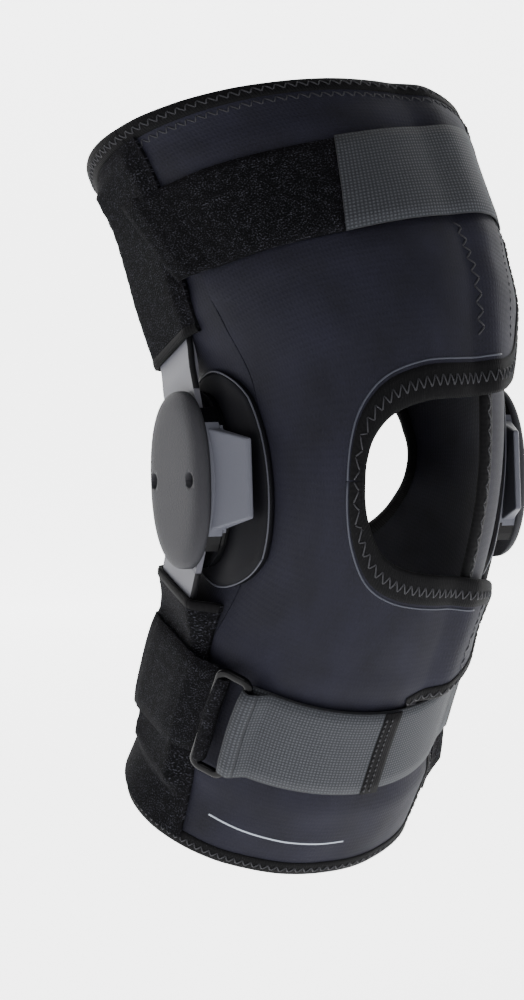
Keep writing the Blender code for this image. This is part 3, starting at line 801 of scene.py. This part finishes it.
# Cut of the front panel, which is open towards the inner side round the kneecap
CUT_UPPER = ((-32, SPLIT_V), (-31.6, 6), (-28, 12), (-19, 17), (-4, 19.5), (14, 20.2), (32, 21.5), (45, 24.5),
             (54, 30), (59.5, 38), (FLAP_END_U, 50))
CUT_LOWER = ((FLAP_END_U, -50), (61.5, -38), (56, -31), (46, -26.5), (30, -23), (12, -21), (-8, -19), (-20, -15.5),
             (-28, -9), (-31.4, -3), (-32, SPLIT_V))
LOWER_FLAP = ((FLAP_END_U, -54), (61.5, -59), (55, -62.5), (40, -64), (22, -66), (15, -68.5))


def joined(stretches):
    """Joins stretches of points into one closed outline of the flat cloth."""
    points = []
    for stretch in stretches:
        for p in stretch:
            if not points or (p - points[-1]).length > JOIN_GAP:
                points.append(p)
    while (points[0] - points[-1]).length < JOIN_GAP:
        points.pop()
    return points


def outline(*parts):
    """The closed outline of stretches of (u, v) points."""
    return joined(spline(cloth_plane(part)) for part in parts)


def path_of(points, step=2.0):
    return even(spline(cloth_plane(points)), step)


def split_line(a, b):
    return ((a, SPLIT_V), (b, SPLIT_V))


def make_sleeve():
    outer, inner = sleeve_place(RISE), sleeve_place(0.0)
    upper, lower = Build(), Build()
    add_sheet(upper, outline(
        split_line(LATERAL_SEAM_U, -32), CUT_UPPER, ((FLAP_END_U, 50), (FLAP_END_U, TOP_V)),
        ((FLAP_END_U, TOP_V), (LATERAL_SEAM_U, TOP_V)),
        ((LATERAL_SEAM_U, TOP_V), (LATERAL_SEAM_U, SPLIT_V))), outer)
    add_sheet(lower, outline(
        ((LATERAL_SEAM_U, SPLIT_V), (LATERAL_SEAM_U, BOTTOM_V)), ((LATERAL_SEAM_U, BOTTOM_V), (CALF_END_U, BOTTOM_V)),
        ((CALF_END_U, BOTTOM_V), (CALF_END_U, -122), (CALF_END_U - 2, -105), (20, -100), (12, -80),
         (15, -68.5)),
        tuple(reversed(LOWER_FLAP)),
        ((FLAP_END_U, -54), (FLAP_END_U, -50)), CUT_LOWER, split_line(-32, LATERAL_SEAM_U)), outer)
    back_upper = ((132, SPLIT_V), (133, 20), (140, 50), (156, 72), (180, 80), (204, 72), (220, 50), (227, 20),
                  (228, SPLIT_V))
    back_lower = ((228, SPLIT_V), (227, -20), (220, -46), (204, -66), (180, -74), (156, -66), (140, -46),
                  (133, -20), (132, SPLIT_V))
    end = 360 + LATERAL_SEAM_U - 0.25
    add_sheet(upper, outline(
        split_line(UNDERLAP_U, 132), back_upper, split_line(228, end), ((end, SPLIT_V), (end, TOP_V)),
        ((end, TOP_V), (UNDERLAP_U, TOP_V)), ((UNDERLAP_U, TOP_V), (UNDERLAP_U, SPLIT_V))), inner)
    add_sheet(lower, outline(
        ((UNDERLAP_U, SPLIT_V), (UNDERLAP_U, BOTTOM_V)), ((UNDERLAP_U, BOTTOM_V), (end, BOTTOM_V)),
        ((end, BOTTOM_V), (end, SPLIT_V)), split_line(end, 228), back_lower, split_line(132, UNDERLAP_U)), inner)

    tapes = {1: Build(), -1: Build()}
    threads = {1: Build(), -1: Build()}

    def bound(leg, points, place):
        path = path_of(points)
        add_tape(tapes[leg], path, place)
        add_zigzag(threads[leg], path, place, *BINDING_STITCH)

    bound(1, CUT_UPPER + ((FLAP_END_U, 60), (FLAP_END_U, 100), (FLAP_END_U, TOP_V)), outer)
    bound(-1, CUT_LOWER, outer)
    bound(-1, tuple(reversed(LOWER_FLAP)) + ((FLAP_END_U, -50),), outer)
    bound(1, ((FLAP_END_U, TOP_V), (LATERAL_SEAM_U, TOP_V)), outer)
    bound(-1, ((LATERAL_SEAM_U, BOTTOM_V), (CALF_END_U, BOTTOM_V)), outer)
    bound(-1, ((CALF_END_U, BOTTOM_V), (CALF_END_U, -122), (CALF_END_U - 1, -110)), outer)
    bound(1, ((end, TOP_V), (UNDERLAP_U, TOP_V)), inner)
    bound(-1, ((CALF_END_U + 4, BOTTOM_V), (end, BOTTOM_V)), inner)
    bound(1, ((UNDERLAP_U, 60), (UNDERLAP_U, SPLIT_V)), inner)
    bound(-1, ((UNDERLAP_U, SPLIT_V), (UNDERLAP_U, -60)), inner)
    bound(1, back_upper, inner)
    bound(-1, back_lower, inner)
    # Second line of stitching inside the top rim's band, and the flaps' reinforcement
    band = path_of(((LATERAL_SEAM_U + 2, TOP_V - 9), (FLAP_END_U - 6, TOP_V - 9)))
    add_zigzag(threads[1], band, outer, 0, 1.4, 2.2, 1.3)
    add_zigzag(threads[1], path_of(((25, 34), (24, 55), (21, 76))), outer, 0, 1.7, 2.6, 1.35, 0.42)
    add_dashes(threads[1], path_of(((45, 36), (46, 80), (47, 120))), outer, 3.0, 1.3)
    add_zigzag(threads[-1], path_of(((43, -32), (40, -48), (38, -66))), outer, 0, 1.6, 2.4, 1.3)
    add_dashes(threads[-1], path_of(((18, -64), (40, -64.5), (54, -62))), outer, 2.6, 1.3)
    piping = {1: Build(), -1: Build()}
    for leg, points in ((1, CUT_UPPER), (-1, CUT_LOWER)):
        path = path_of(points, 1.5)
        line = [p + inward * 7.6 for p, inward in frames(path)]
        found = [surface(outer, p.x, p.y) for p in line if p.x < 34 * ROUND]
        add_thread(piping[leg], [p + normal * 1.35 for p, normal in found], [normal for _, normal in found], 0.42, 6)

    made = {}
    for leg, sleeve, blend in ((1, upper, UPPER), (-1, lower, LOWER)):
        word = "upper" if leg > 0 else "lower"
        body = sleeve.make(f"sleeve_{word}", KNIT, "sleeve_fabric")
        tape = tapes[leg].make(f"binding_{word}", TAPE_WEAVE, "binding_tape")
        thread = threads[leg].make(f"stitching_{word}", THREAD, "binding_tape")
        pipe = piping[leg].make(f"piping_{word}", PIPING, "binding_tape")
        for obj in (body, tape, thread, pipe):
            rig.blend(obj, *blend)
        made[leg] = (body, [tape, thread, pipe])
    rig.replaces(made[1][0], "thigh_front_panel", "thigh_back_panel", "thigh_flap_hook")
    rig.replaces(made[-1][0], "shank_front_panel", "shank_back_panel", "shank_flap_hook", "lateral_side_panel",
                "medial_side_panel")
    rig.replaces(made[1][1][0], "top_binding", "patella_binding_upper", "popliteal_binding_upper")
    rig.replaces(made[-1][1][0], "bottom_binding", "patella_binding_lower", "popliteal_binding_lower")
    return made


def cloth_area(obj):
    """Flat area of a sheet: half of its whole surface."""
    return sum(p.area for p in obj.data.polygons) / 2


def declare_sheet(obj, flat, rests_on, pieces=()):
    share = cloth_area(obj)
    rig.sheet(obj, flat=flat, held="stretched", rests_on=rests_on, area=min(share, flat[0] * flat[1]),
             with_pieces=list(pieces))


# ---------------------------------------------------------------- pockets and straps


HEM = ((3.2, 0.75), (3.0, 1.15), (1.2, 1.25), (-0.5, 0.9), (-0.8, 0), (-0.5, -0.9), (1.2, -1.1), (2.6, -1.1))


def pocket_place(side, leg):
    def place(a, b):
        y, z = arm_point(leg, b, a)
        return Vector((side * pocket_x(side, leg, b, a), y, z))
    return place


def make_pocket(side, leg, name, replaced):
    place = pocket_place(side, leg)
    build, tape = Build(), Build()
    front, rear, far = -POCKET_HALF, 30, 141 if (side, leg) == (-1, -1) else POCKET_END
    corners = ((front, 39), (rear, 40)) if leg > 0 else ((front, 27.5), (rear, 37))
    sides = [
        spline([corners[0], corners[1]]),
        spline([corners[1], (rear + 4, 70), (rear + 6, far)]),
        spline([(rear + 6, far), (front - 2, far)]),
        spline([(front - 2, far), (front, 80), corners[0]]),
    ]
    add_sheet(build, joined(sides), place, 1.5, 3.5)
    obj = build.make(name, LOOP, "loop_fabric")
    add_tape(tape, even(sides[0], 2.0), place, HEM)
    hem = tape.make(name + "_hem", TAPE_WEAVE, "binding_tape")
    for piece in (obj, hem):
        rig.ride(piece, "thigh" if leg > 0 else "shank")
    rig.replaces(obj, replaced)
    declare_sheet(obj, (0.068, 0.118 if far > POCKET_END else 0.1), ["sleeve_upper" if leg > 0 else "sleeve_lower"],
                  [hem])


HEIGHTS = {}


def stack_height(u, leg, v):
    """Offset from the sleeve that clears the pocket."""
    u = (u + 180) % 360 - 180
    if not 48 < abs(u) < 150:
        return 0.0
    key = (round(u), leg, round(v / 3))
    if key in HEIGHTS:
        return HEIGHTS[key]
    side = -1 if u < 0 else 1
    tilt = math.radians(THIGH_TILT if leg > 0 else SHANK_TILT)
    off = 0.0
    for _ in range(4):
        p = leg_point(u, v, off)
        y, z = p.y, leg * p.z - PIVOT_Z
        h, w = y * math.sin(tilt) + z * math.cos(tilt), y * math.cos(tilt) - z * math.sin(tilt)
        beyond = smooth_step(34, 40, w) if w > 0 else smooth_step(25, 31, -w)
        top = pocket_x(side, leg, h, w) + 0.9 - 2.2 * beyond
        off = max(off + (top - side * p.x) / max(abs(math.sin(math.radians(u))), 0.6), 0)
    HEIGHTS[key] = off
    return off


def strap_base(leg, u, over_flap):
    """Height of a strap's underside at u, smoothed along the strap."""
    def highest(u, shares):
        middle, half = strap_line(leg, u)
        return max(stack_height(u, leg, middle + half * k) for k in shares)

    total = 0.0
    for du in (-6, -3, 0, 3, 6):
        total += highest(u + du, (-1, -0.5, 0, 0.5, 1))
    base = max(total / 5, highest(u, (-1, 0, 1)) - 0.6)
    wrapped = (u + 180) % 360 - 180
    if over_flap:
        past_flap = smooth_step(FLAP_END_U + 2, FLAP_END_U + 12, wrapped)
        base = max(base, RISE * smooth_step(16, 31, wrapped) * (1 - past_flap))
    return base + 0.15


def strap_stations(leg, start, end, layer, over_flap=True, step=2.0, half_change=0.0, skew=0.0):
    count = max(round(abs(end - start) / step), 2)
    out = []
    for i in range(count + 1):
        u = start + (end - start) * i / count
        middle, half = strap_line(leg, u)
        under = layer if leg < 0 else layer * (1 - smooth_step(34, 52, u))
        off = strap_base(leg, u, over_flap) + STRAP / 2 + under * (STRAP + 0.15)
        out.append((u, off, middle, half + half_change, skew * (1 - i / count) ** 2))
    return out


def make_straps():
    build = Build()
    add_ribbon(build, strap_stations(1, LOOP_SEAM_U, 30, 0, skew=-6.0), 1.8, 12)
    loop = build.make("thigh_loop_strap", LOOP, "loop_fabric")
    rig.ride(loop, "thigh")
    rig.replaces(loop, "thigh_strap_loop")
    declare_sheet(loop, (0.045, 0.2), ["sleeve_upper"])

    build = Build()
    add_ribbon(build, strap_stations(1, 60.5, 238, 0))
    strap = build.make("thigh_webbing", WEB, "strap_webbing")
    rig.ride(strap, "thigh")
    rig.replaces(strap, "thigh_strap")
    declare_sheet(strap, (0.045, 0.26), ["sleeve_upper"])

    build = Build()
    add_ribbon(build, strap_stations(1, -18, 60, 1, half_change=1.0, skew=4.5))
    tab = build.make("thigh_hook_tab", WEB, "strap_webbing")
    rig.ride(tab, "thigh_tab")
    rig.replaces(tab, "thigh_strap_tab")
    declare_sheet(tab, (0.047, 0.11), ["thigh_loop_strap"])

    # Calf: the webbing comes round the front, turns through the ring and folds back over itself
    build = Build()
    loop_end = [(RING_U + du, off, CALF_STRAP_V, CALF_STRAP_HALF - 1.2, 0) for du, off in
                ((-8.2, 4.2), (-7.2, 6.8), (-6.2, 8.3), (-5.0, 8.8), (-4.0, 8.2), (-3.4, 6.8), (-3.3, 5.2),
                 (-3.8, 3.6))]
    add_ribbon(build, strap_stations(-1, -122, RING_U - 11, 0) + loop_end, 1.8)
    anchor = build.make("calf_anchor", LOOP, "loop_fabric")
    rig.ride(anchor, "shank")
    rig.replaces(anchor, "calf_strap_anchor")
    declare_sheet(anchor, (0.05, 0.09), ["sleeve_lower"])

    middle, half = strap_line(-1, RING_U)
    turn = []
    for k in range(7):
        a = math.pi * k / 6
        turn.append((RING_U + 6.5 - 3.2 * math.sin(a), 5.5 - 3.6 * math.cos(a), middle, half - 1, 0))
    behind = strap_stations(-1, 238, RING_U + 12, 0, over_flap=False)
    under = [(u, off, v, h - 1, 0) for u, off, v, h, _ in behind]
    start_off = turn[-1][1]
    fold = []
    for u, off, v, h, _ in strap_stations(-1, RING_U + 8, 11, 1, over_flap=False, step=1.5):
        mix = smooth_step(RING_U + 7, RING_U + 14, u)
        fold.append((u, start_off * (1 - mix) + off * mix, v, h - 0.6, 0))
    root = [station for station in fold if station[0] < RING_U + 10.6]
    fold = [station for station in fold if station[0] > RING_U + 10.6]
    fold.insert(0, (root[-1][0] + 0.04, *root[-1][1:]))
    build = Build()
    add_ribbon(build, under + turn + root, side=-1)
    webbing_piece = build.make("calf_webbing", WEB, "strap_webbing")
    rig.ride(webbing_piece, "shank")
    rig.replaces(webbing_piece, "calf_strap")
    declare_sheet(webbing_piece, (0.05, 0.4), ["sleeve_lower"])

    build = Build()
    add_ribbon(build, fold)
    tab = build.make("calf_hook_tab", WEB, "strap_webbing")
    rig.ride(tab, "calf_tab")
    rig.replaces(tab, "calf_strap_tab")
    hem = Build()
    for u in (7, 4.5):
        line = [leg_point(u, middle - half + 2 + (2 * half - 4) * k / 30, fold[-1][1] + 1.2) for k in range(31)]
        normals = [(leg_point(u, middle, 10) - leg_point(u, middle, 0)).normalized()] * len(line)
        for k in range(0, 30, 2):
            add_thread(hem, line[k:k + 2], normals[k:k + 2], 0.35)
    stitches = hem.make("calf_tab_stitches", THREAD, "binding_tape")
    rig.ride(stitches, "calf_tab")
    band = Build()
    add_ribbon(band, [(u, off + 0.55, v, h + 0.2, s) for u, off, v, h, s in fold if u > 2.5], 1.0)
    end_band = band.make("calf_tab_hem", TAPE_WEAVE, "binding_tape")
    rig.ride(end_band, "calf_tab")
    declare_sheet(tab, (0.05, 0.08), ["calf_webbing"], [stitches, end_band])


def make_ring():
    middle = leg_point(RING_U, CALF_STRAP_V, 6.0)
    across = (leg_point(RING_U + 5, CALF_STRAP_V, 6.0) - middle).normalized()
    upward = (leg_point(RING_U, CALF_STRAP_V + 5, 6.0) - middle).normalized()
    outward = across.cross(upward).normalized()
    half_w, half_h, corner = 6.9, CALF_STRAP_HALF + 3.0, 3.6
    path = []
    for k, (sx, sy) in enumerate(((1, 1), (-1, 1), (-1, -1), (1, -1))):
        for i in range(8):
            a = math.radians(90 * k + 90 * i / 7)
            path.append(middle + across * (sx * (half_w - corner) + corner * math.cos(a))
                        + upward * (sy * (half_h - corner) + corner * math.sin(a)))
    build = Build()
    n, sides = len(path), 14
    for i in range(n):
        t = (path[(i + 1) % n] - path[i - 1]).normalized()
        side = t.cross(outward).normalized()
        for k in range(sides):
            angle = 2 * math.pi * k / sides
            c, s = math.cos(angle), math.sin(angle)
            c, s = math.copysign(abs(c) ** 0.75, c), math.copysign(abs(s) ** 0.75, s)
            build.points.append(path[i] + side * 2.0 * c + outward * 1.55 * s)
    for i in range(n):
        j = (i + 1) % n
        for k in range(sides):
            l = (k + 1) % sides
            build.face([i * sides + l, i * sides + k, j * sides + k, j * sides + l])
    ring = build.make("calf_ring", BLACK, "black_plastic")
    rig.ride(ring, "shank")
    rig.replaces(ring, "calf_strap_ring")


def make_label():
    """A plain printed line in place of lettering."""
    build = Build()
    place = sleeve_place(RISE)
    path = path_of(((-52, -139), (-20, -141), (6, -141)), 2.0)
    add_tape(build, path, place, section=((0.4, 1.28), (0.4, 1.33), (-0.4, 1.33), (-0.4, 1.28)))
    line = build.make("label_line", Finish("label_print", (120, 126, 135), 0.6).material, "binding_tape")
    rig.blend(line, *LOWER)


# ---------------------------------------------------------------- hinges


def make_condyle_pad(side, where):
    front, back, half_z = -45, 25, 43.5
    n = 44
    roundness = 0.45
    build = Build()
    rows = {}

    def flat(s, t):
        p, q = 2 * s - 1, 2 * t - 1
        p, q = p * math.sqrt(1 - roundness * q * q), q * math.sqrt(1 - roundness * p * p)
        return (front + back) / 2 + (back - front) / 2 * p, half_z * q

    for layer in (0, 1):
        for i in range(n + 1):
            for j in range(n + 1):
                y, z = flat(i / n, j / n)
                skin = max(side * leg_side(side, y, z, 0.5 if side < 0 else 1.3), 46)
                reach = math.hypot(y / 30, z / 39)
                edge = min(skin + 3.2, PAD_X + 3)
                x = max(PAD_X + (edge - PAD_X) * smooth_step(0.98, 1.38, reach), skin + 1.0)
                border = min(i, n - i, j, n - j) / n
                round_over = 1.1 * max(1 - border / 0.05, 0) ** 2
                rows[layer, i, j] = len(build.points)
                build.points.append(Vector((side * (x - round_over if layer else skin), y, z)))
    for i in range(n):
        for j in range(n):
            for layer in (0, 1):
                quad = [rows[layer, i, j], rows[layer, i + 1, j], rows[layer, i + 1, j + 1], rows[layer, i, j + 1]]
                build.turned(quad, (layer == 1) == (side > 0))
    for k in range(n):
        for a, b in (((k, 0), (k + 1, 0)), ((n, k), (n, k + 1)), ((k + 1, n), (k, n)), ((0, k + 1), (0, k))):
            quad = [rows[(0, *a)], rows[(0, *b)], rows[(1, *b)], rows[(1, *a)]]
            build.turned(quad, side > 0)
    pad = build.make(f"{where}_pad", FOAM, "condyle_foam")
    # A thin lighter thread round the pad's top edge: a painted highlight along the rim.
    rim = Build()
    ring = [rows[1, i, 0] for i in range(n)] + [rows[1, n, j] for j in range(n)]
    ring += [rows[1, i, n] for i in range(n, 0, -1)] + [rows[1, 0, j] for j in range(n, -1, -1)]
    line = [build.points[k] + Vector((side * 0.1, 0, 0)) for k in ring]
    add_thread(rim, line, [Vector((side, 0, 0))] * len(line), 0.42, 6)
    edge = rim.make(f"{where}_pad_rim", PAINTED_HIGHLIGHT_PAD_RIM, "condyle_foam")
    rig.ride(edge, f"{where}_hinge")
    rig.ride(pad, f"{where}_hinge")
    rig.replaces(pad, f"{where}_condyle_pad")
    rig.padded(pad, fill=0.9)


def soften(node, material, width, segments=2, angle=35):
    obj = frame["nodes"][node]
    obj.data.materials.clear()
    obj.data.materials.append(material)
    bevel = obj.modifiers.new("edges", "BEVEL")
    bevel.width = width * MM
    bevel.segments = segments
    bevel.limit_method = "ANGLE"
    bevel.angle_limit = math.radians(angle)
    obj.data.shade_smooth()
    normals = obj.modifiers.new("shading", "WEIGHTED_NORMAL")
    normals.keep_sharp = False


def make_cover(side, where):
    """The domed cover, with its rounded rim and the two screw holes."""
    build = Build()
    count, steps = 72, 16
    rings = []
    for k in range(steps + 1):
        if k == 0:
            share, x = 1.0, COVER_X
        else:
            a = math.pi / 2 * (k - 1) / (steps - 1)
            share, x = math.cos(a) ** 0.28, COVER_X + 1.2 + 4.6 * math.sin(a) ** 0.9
        share = max(share, 0.02)
        ring = []
        for i in range(count):
            a = 2 * math.pi * i / count
            c, s = math.cos(a), math.sin(a)
            y = COVER_HALF[0] * math.copysign(abs(c) ** (2 / COVER_ROUNDNESS), c)
            z = COVER_HALF[1] * math.copysign(abs(s) ** (2 / COVER_ROUNDNESS), s)
            ring.append(Vector((side * x, y * share, z * share)))
        rings.append(ring)
    build.loft(rings, side)
    cover = build.make(f"{where}_cover", COVER, "cover_plastic")
    for y in (-SCREW_Y, SCREW_Y):
        cutter = Build()
        circle = [(y + SCREW_HOLE * math.cos(a), SCREW_HOLE * math.sin(a))
                  for a in (2 * math.pi * i / 24 for i in range(24))]
        cutter.loft([[Vector((side * x, *p)) for p in circle] for x in (COVER_X - 1, COVER_X + 9)], side)
        tool = cutter.make(f"{where}_hole", BLACK, "cover_plastic")
        cut = cover.modifiers.new("hole", "BOOLEAN")
        cut.object, cut.operation, cut.solver = tool, "DIFFERENCE", "EXACT"
        graph = bpy.context.evaluated_depsgraph_get()
        mesh = bpy.data.meshes.new_from_object(cover.evaluated_get(graph))
        cover.modifiers.clear()
        cover.data = mesh
        bpy.data.objects.remove(tool)
    for polygon in cover.data.polygons:
        polygon.use_smooth = True
    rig.ride(cover, f"{where}_hinge")
    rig.replaces(cover, f"{where}_hinge_cover")


def make_bar(side, leg, where):
    """The bent bar of an upright: a rounded strip whose side edges are coloured dark as painted shade."""
    build, edge = Build(), Build()
    columns, length = 60, UPRIGHT_LENGTH - 1
    section = [(-1.0, 1.05), (-0.97, 1.36), (0.97, 1.36), (1.0, 1.05), (1.0, -1.05), (0.97, -1.36), (-0.97, -1.36),
               (-1.0, -1.05)]
    for target, keep in ((build, (1, 5)), (edge, (0, 2, 3, 4, 6, 7))):
        start = 17
        for i in range(columns + 1):
            h = start + (length - start) * i / columns
            half = 15.4 * math.sqrt(1 - 0.8 * (max(h - (length - 12), 0) / 12) ** 2)
            for w, o in section:
                y, z = arm_point(leg, h, w * half)
                target.points.append(Vector((arm_x(side, leg, h) + side * o, y, z)))
        m = len(section)
        for i in range(columns):
            for k in keep:
                l = (k + 1) % m
                quad = [i * m + k, i * m + l, (i + 1) * m + l, (i + 1) * m + k]
                target.turned(quad, side * leg > 0)
    # The edge faces take the dark material, a painted shade along the bar's sides.
    for name, part, material in ((f"{where}_bar", build, ALUMINIUM), (f"{where}_bar_edge_painted_shade", edge, PAINTED_SHADE_BAR_EDGE)):
        obj = part.make(name, material, "painted_aluminium")
        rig.ride(obj, "thigh" if leg > 0 else "shank")


def dress_hinge(side, where):
    make_cover(side, where)
    soften(f"{where}_hinge_housing", HOUSING, 0.8, 3)
    housing = frame["nodes"][f"{where}_hinge_housing"].data
    housing.materials.append(BLACK)
    for polygon in housing.polygons:
        if abs(polygon.center.z) > 22 * MM:
            polygon.material_index = 1
    soften(f"{where}_backing_plate", BLACK, 0.25)
    for leg, part in ((1, "upper_upright"), (-1, "lower_upright")):
        soften(f"{where}_{part}", ALUMINIUM, 0.25)
        make_bar(side, leg, f"{where}_{part}")
    for part in ("inner_plate", "outer_plate", "upper_rivet", "lower_rivet"):
        soften(f"{where}_{part}", STEEL, 0.15, 1)
    for part in ("front_screw", "rear_screw"):
        soften(f"{where}_{part}", DARK_STEEL, 0.2, 1)
    for part in ("extension_stop", "flexion_stop"):
        soften(f"{where}_{part}", BLACK, 0.2, 1)


# ---------------------------------------------------------------- stage


def area_light(name, place, size, power):
    """A light that points at the middle of the knee."""
    data = bpy.data.lights.new(name, "AREA")
    data.shape = "RECTANGLE"
    data.size, data.size_y = size
    data.energy = power
    lamp = bpy.data.objects.new(name, data)
    bpy.context.scene.collection.objects.link(lamp)
    lamp.location = place
    lamp.rotation_euler = (-Vector(place)).to_track_quat("-Z", "Y").to_euler()


def make_stage():
    points, faces = [], []
    profile = [(-STAGE_REACH, FLOOR_Z), (WALL_Y - WALL_CURVE, FLOOR_Z)]
    for k in range(1, 13):
        a = math.pi / 2 * k / 12
        profile.append((WALL_Y - WALL_CURVE + WALL_CURVE * math.sin(a),
                        FLOOR_Z + WALL_CURVE - WALL_CURVE * math.cos(a)))
    profile.append((WALL_Y, WALL_TOP))
    turn = math.radians(STAGE_TURN)
    for y, z in profile:
        for x in (-STAGE_REACH, STAGE_REACH):
            points.append((x * math.cos(turn) - y * math.sin(turn), x * math.sin(turn) + y * math.cos(turn), z))
    for k in range(len(profile) - 1):
        faces.append((2 * k, 2 * k + 1, 2 * k + 3, 2 * k + 2))
    mesh = bpy.data.meshes.new("backdrop")
    mesh.from_pydata(points, [], faces)
    white = Finish("backdrop", (250, 250, 250), 0.9)
    white.shader.inputs["Emission Color"].default_value = (1, 1, 1, 1)
    white.shader.inputs["Emission Strength"].default_value = 3.4
    mesh.materials.append(white.material)
    mesh.shade_smooth()
    backdrop = bpy.data.objects.new("backdrop", mesh)
    bpy.context.scene.collection.objects.link(backdrop)
    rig.stage(backdrop)

    world = bpy.data.worlds.new("studio")
    world.use_nodes = True
    background = world.node_tree.nodes["Background"]
    background.inputs["Color"].default_value = (1, 1, 1, 1)
    background.inputs["Strength"].default_value = 0.3
    bpy.context.scene.world = world
    area_light("key", (-1.5, -1.3, 1.5), (0.9, 0.9), 24)
    area_light("front", (0.3, -1.9, 0.5), (0.8, 1.2), 7)
    area_light("rim", (1.6, -0.2, 0.9), (0.6, 1.4), 8)

    turn = math.radians(CAMERA_TURN)
    forward = Vector((-math.sin(turn), math.cos(turn), 0))
    data = bpy.data.cameras.new("camera")
    data.lens, data.sensor_width, data.sensor_fit = 148.7, 36, "AUTO"
    data.clip_start, data.clip_end = 0.05, 60
    data.shift_x, data.shift_y = -0.0772, -0.0246
    camera = bpy.data.objects.new("camera", data)
    bpy.context.scene.collection.objects.link(camera)
    camera.location = -forward * CAMERA_DISTANCE
    camera.rotation_euler = forward.to_track_quat("-Z", "Y").to_euler()
    camera.rotation_euler.rotate_axis("Z", math.radians(CAMERA_ROLL))
    bpy.context.scene.camera = camera


sleeve = make_sleeve()
for leg, name in ((1, "upper"), (-1, "lower")):
    declare_sheet(sleeve[leg][0], (0.44, 0.32), ["lateral_backing_plate"], sleeve[leg][1])
for leg, name in ((1, "thigh"), (-1, "shank")):
    for side, where in ((-1, "lateral"), (1, "medial")):
        make_pocket(side, leg, f"{where}_{name}_loop_pocket", f"{where}_{name}_pocket")
make_straps()
make_ring()
make_label()
for side, where in ((-1, "lateral"), (1, "medial")):
    make_condyle_pad(side, where)
    dress_hinge(side, where)
make_stage()

with open("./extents.json") as report:
    sizes = json.load(report)
sizes["finish"] = [list(corner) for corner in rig.bounds()]
with open("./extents.json", "w") as report:
    json.dump(sizes, report)
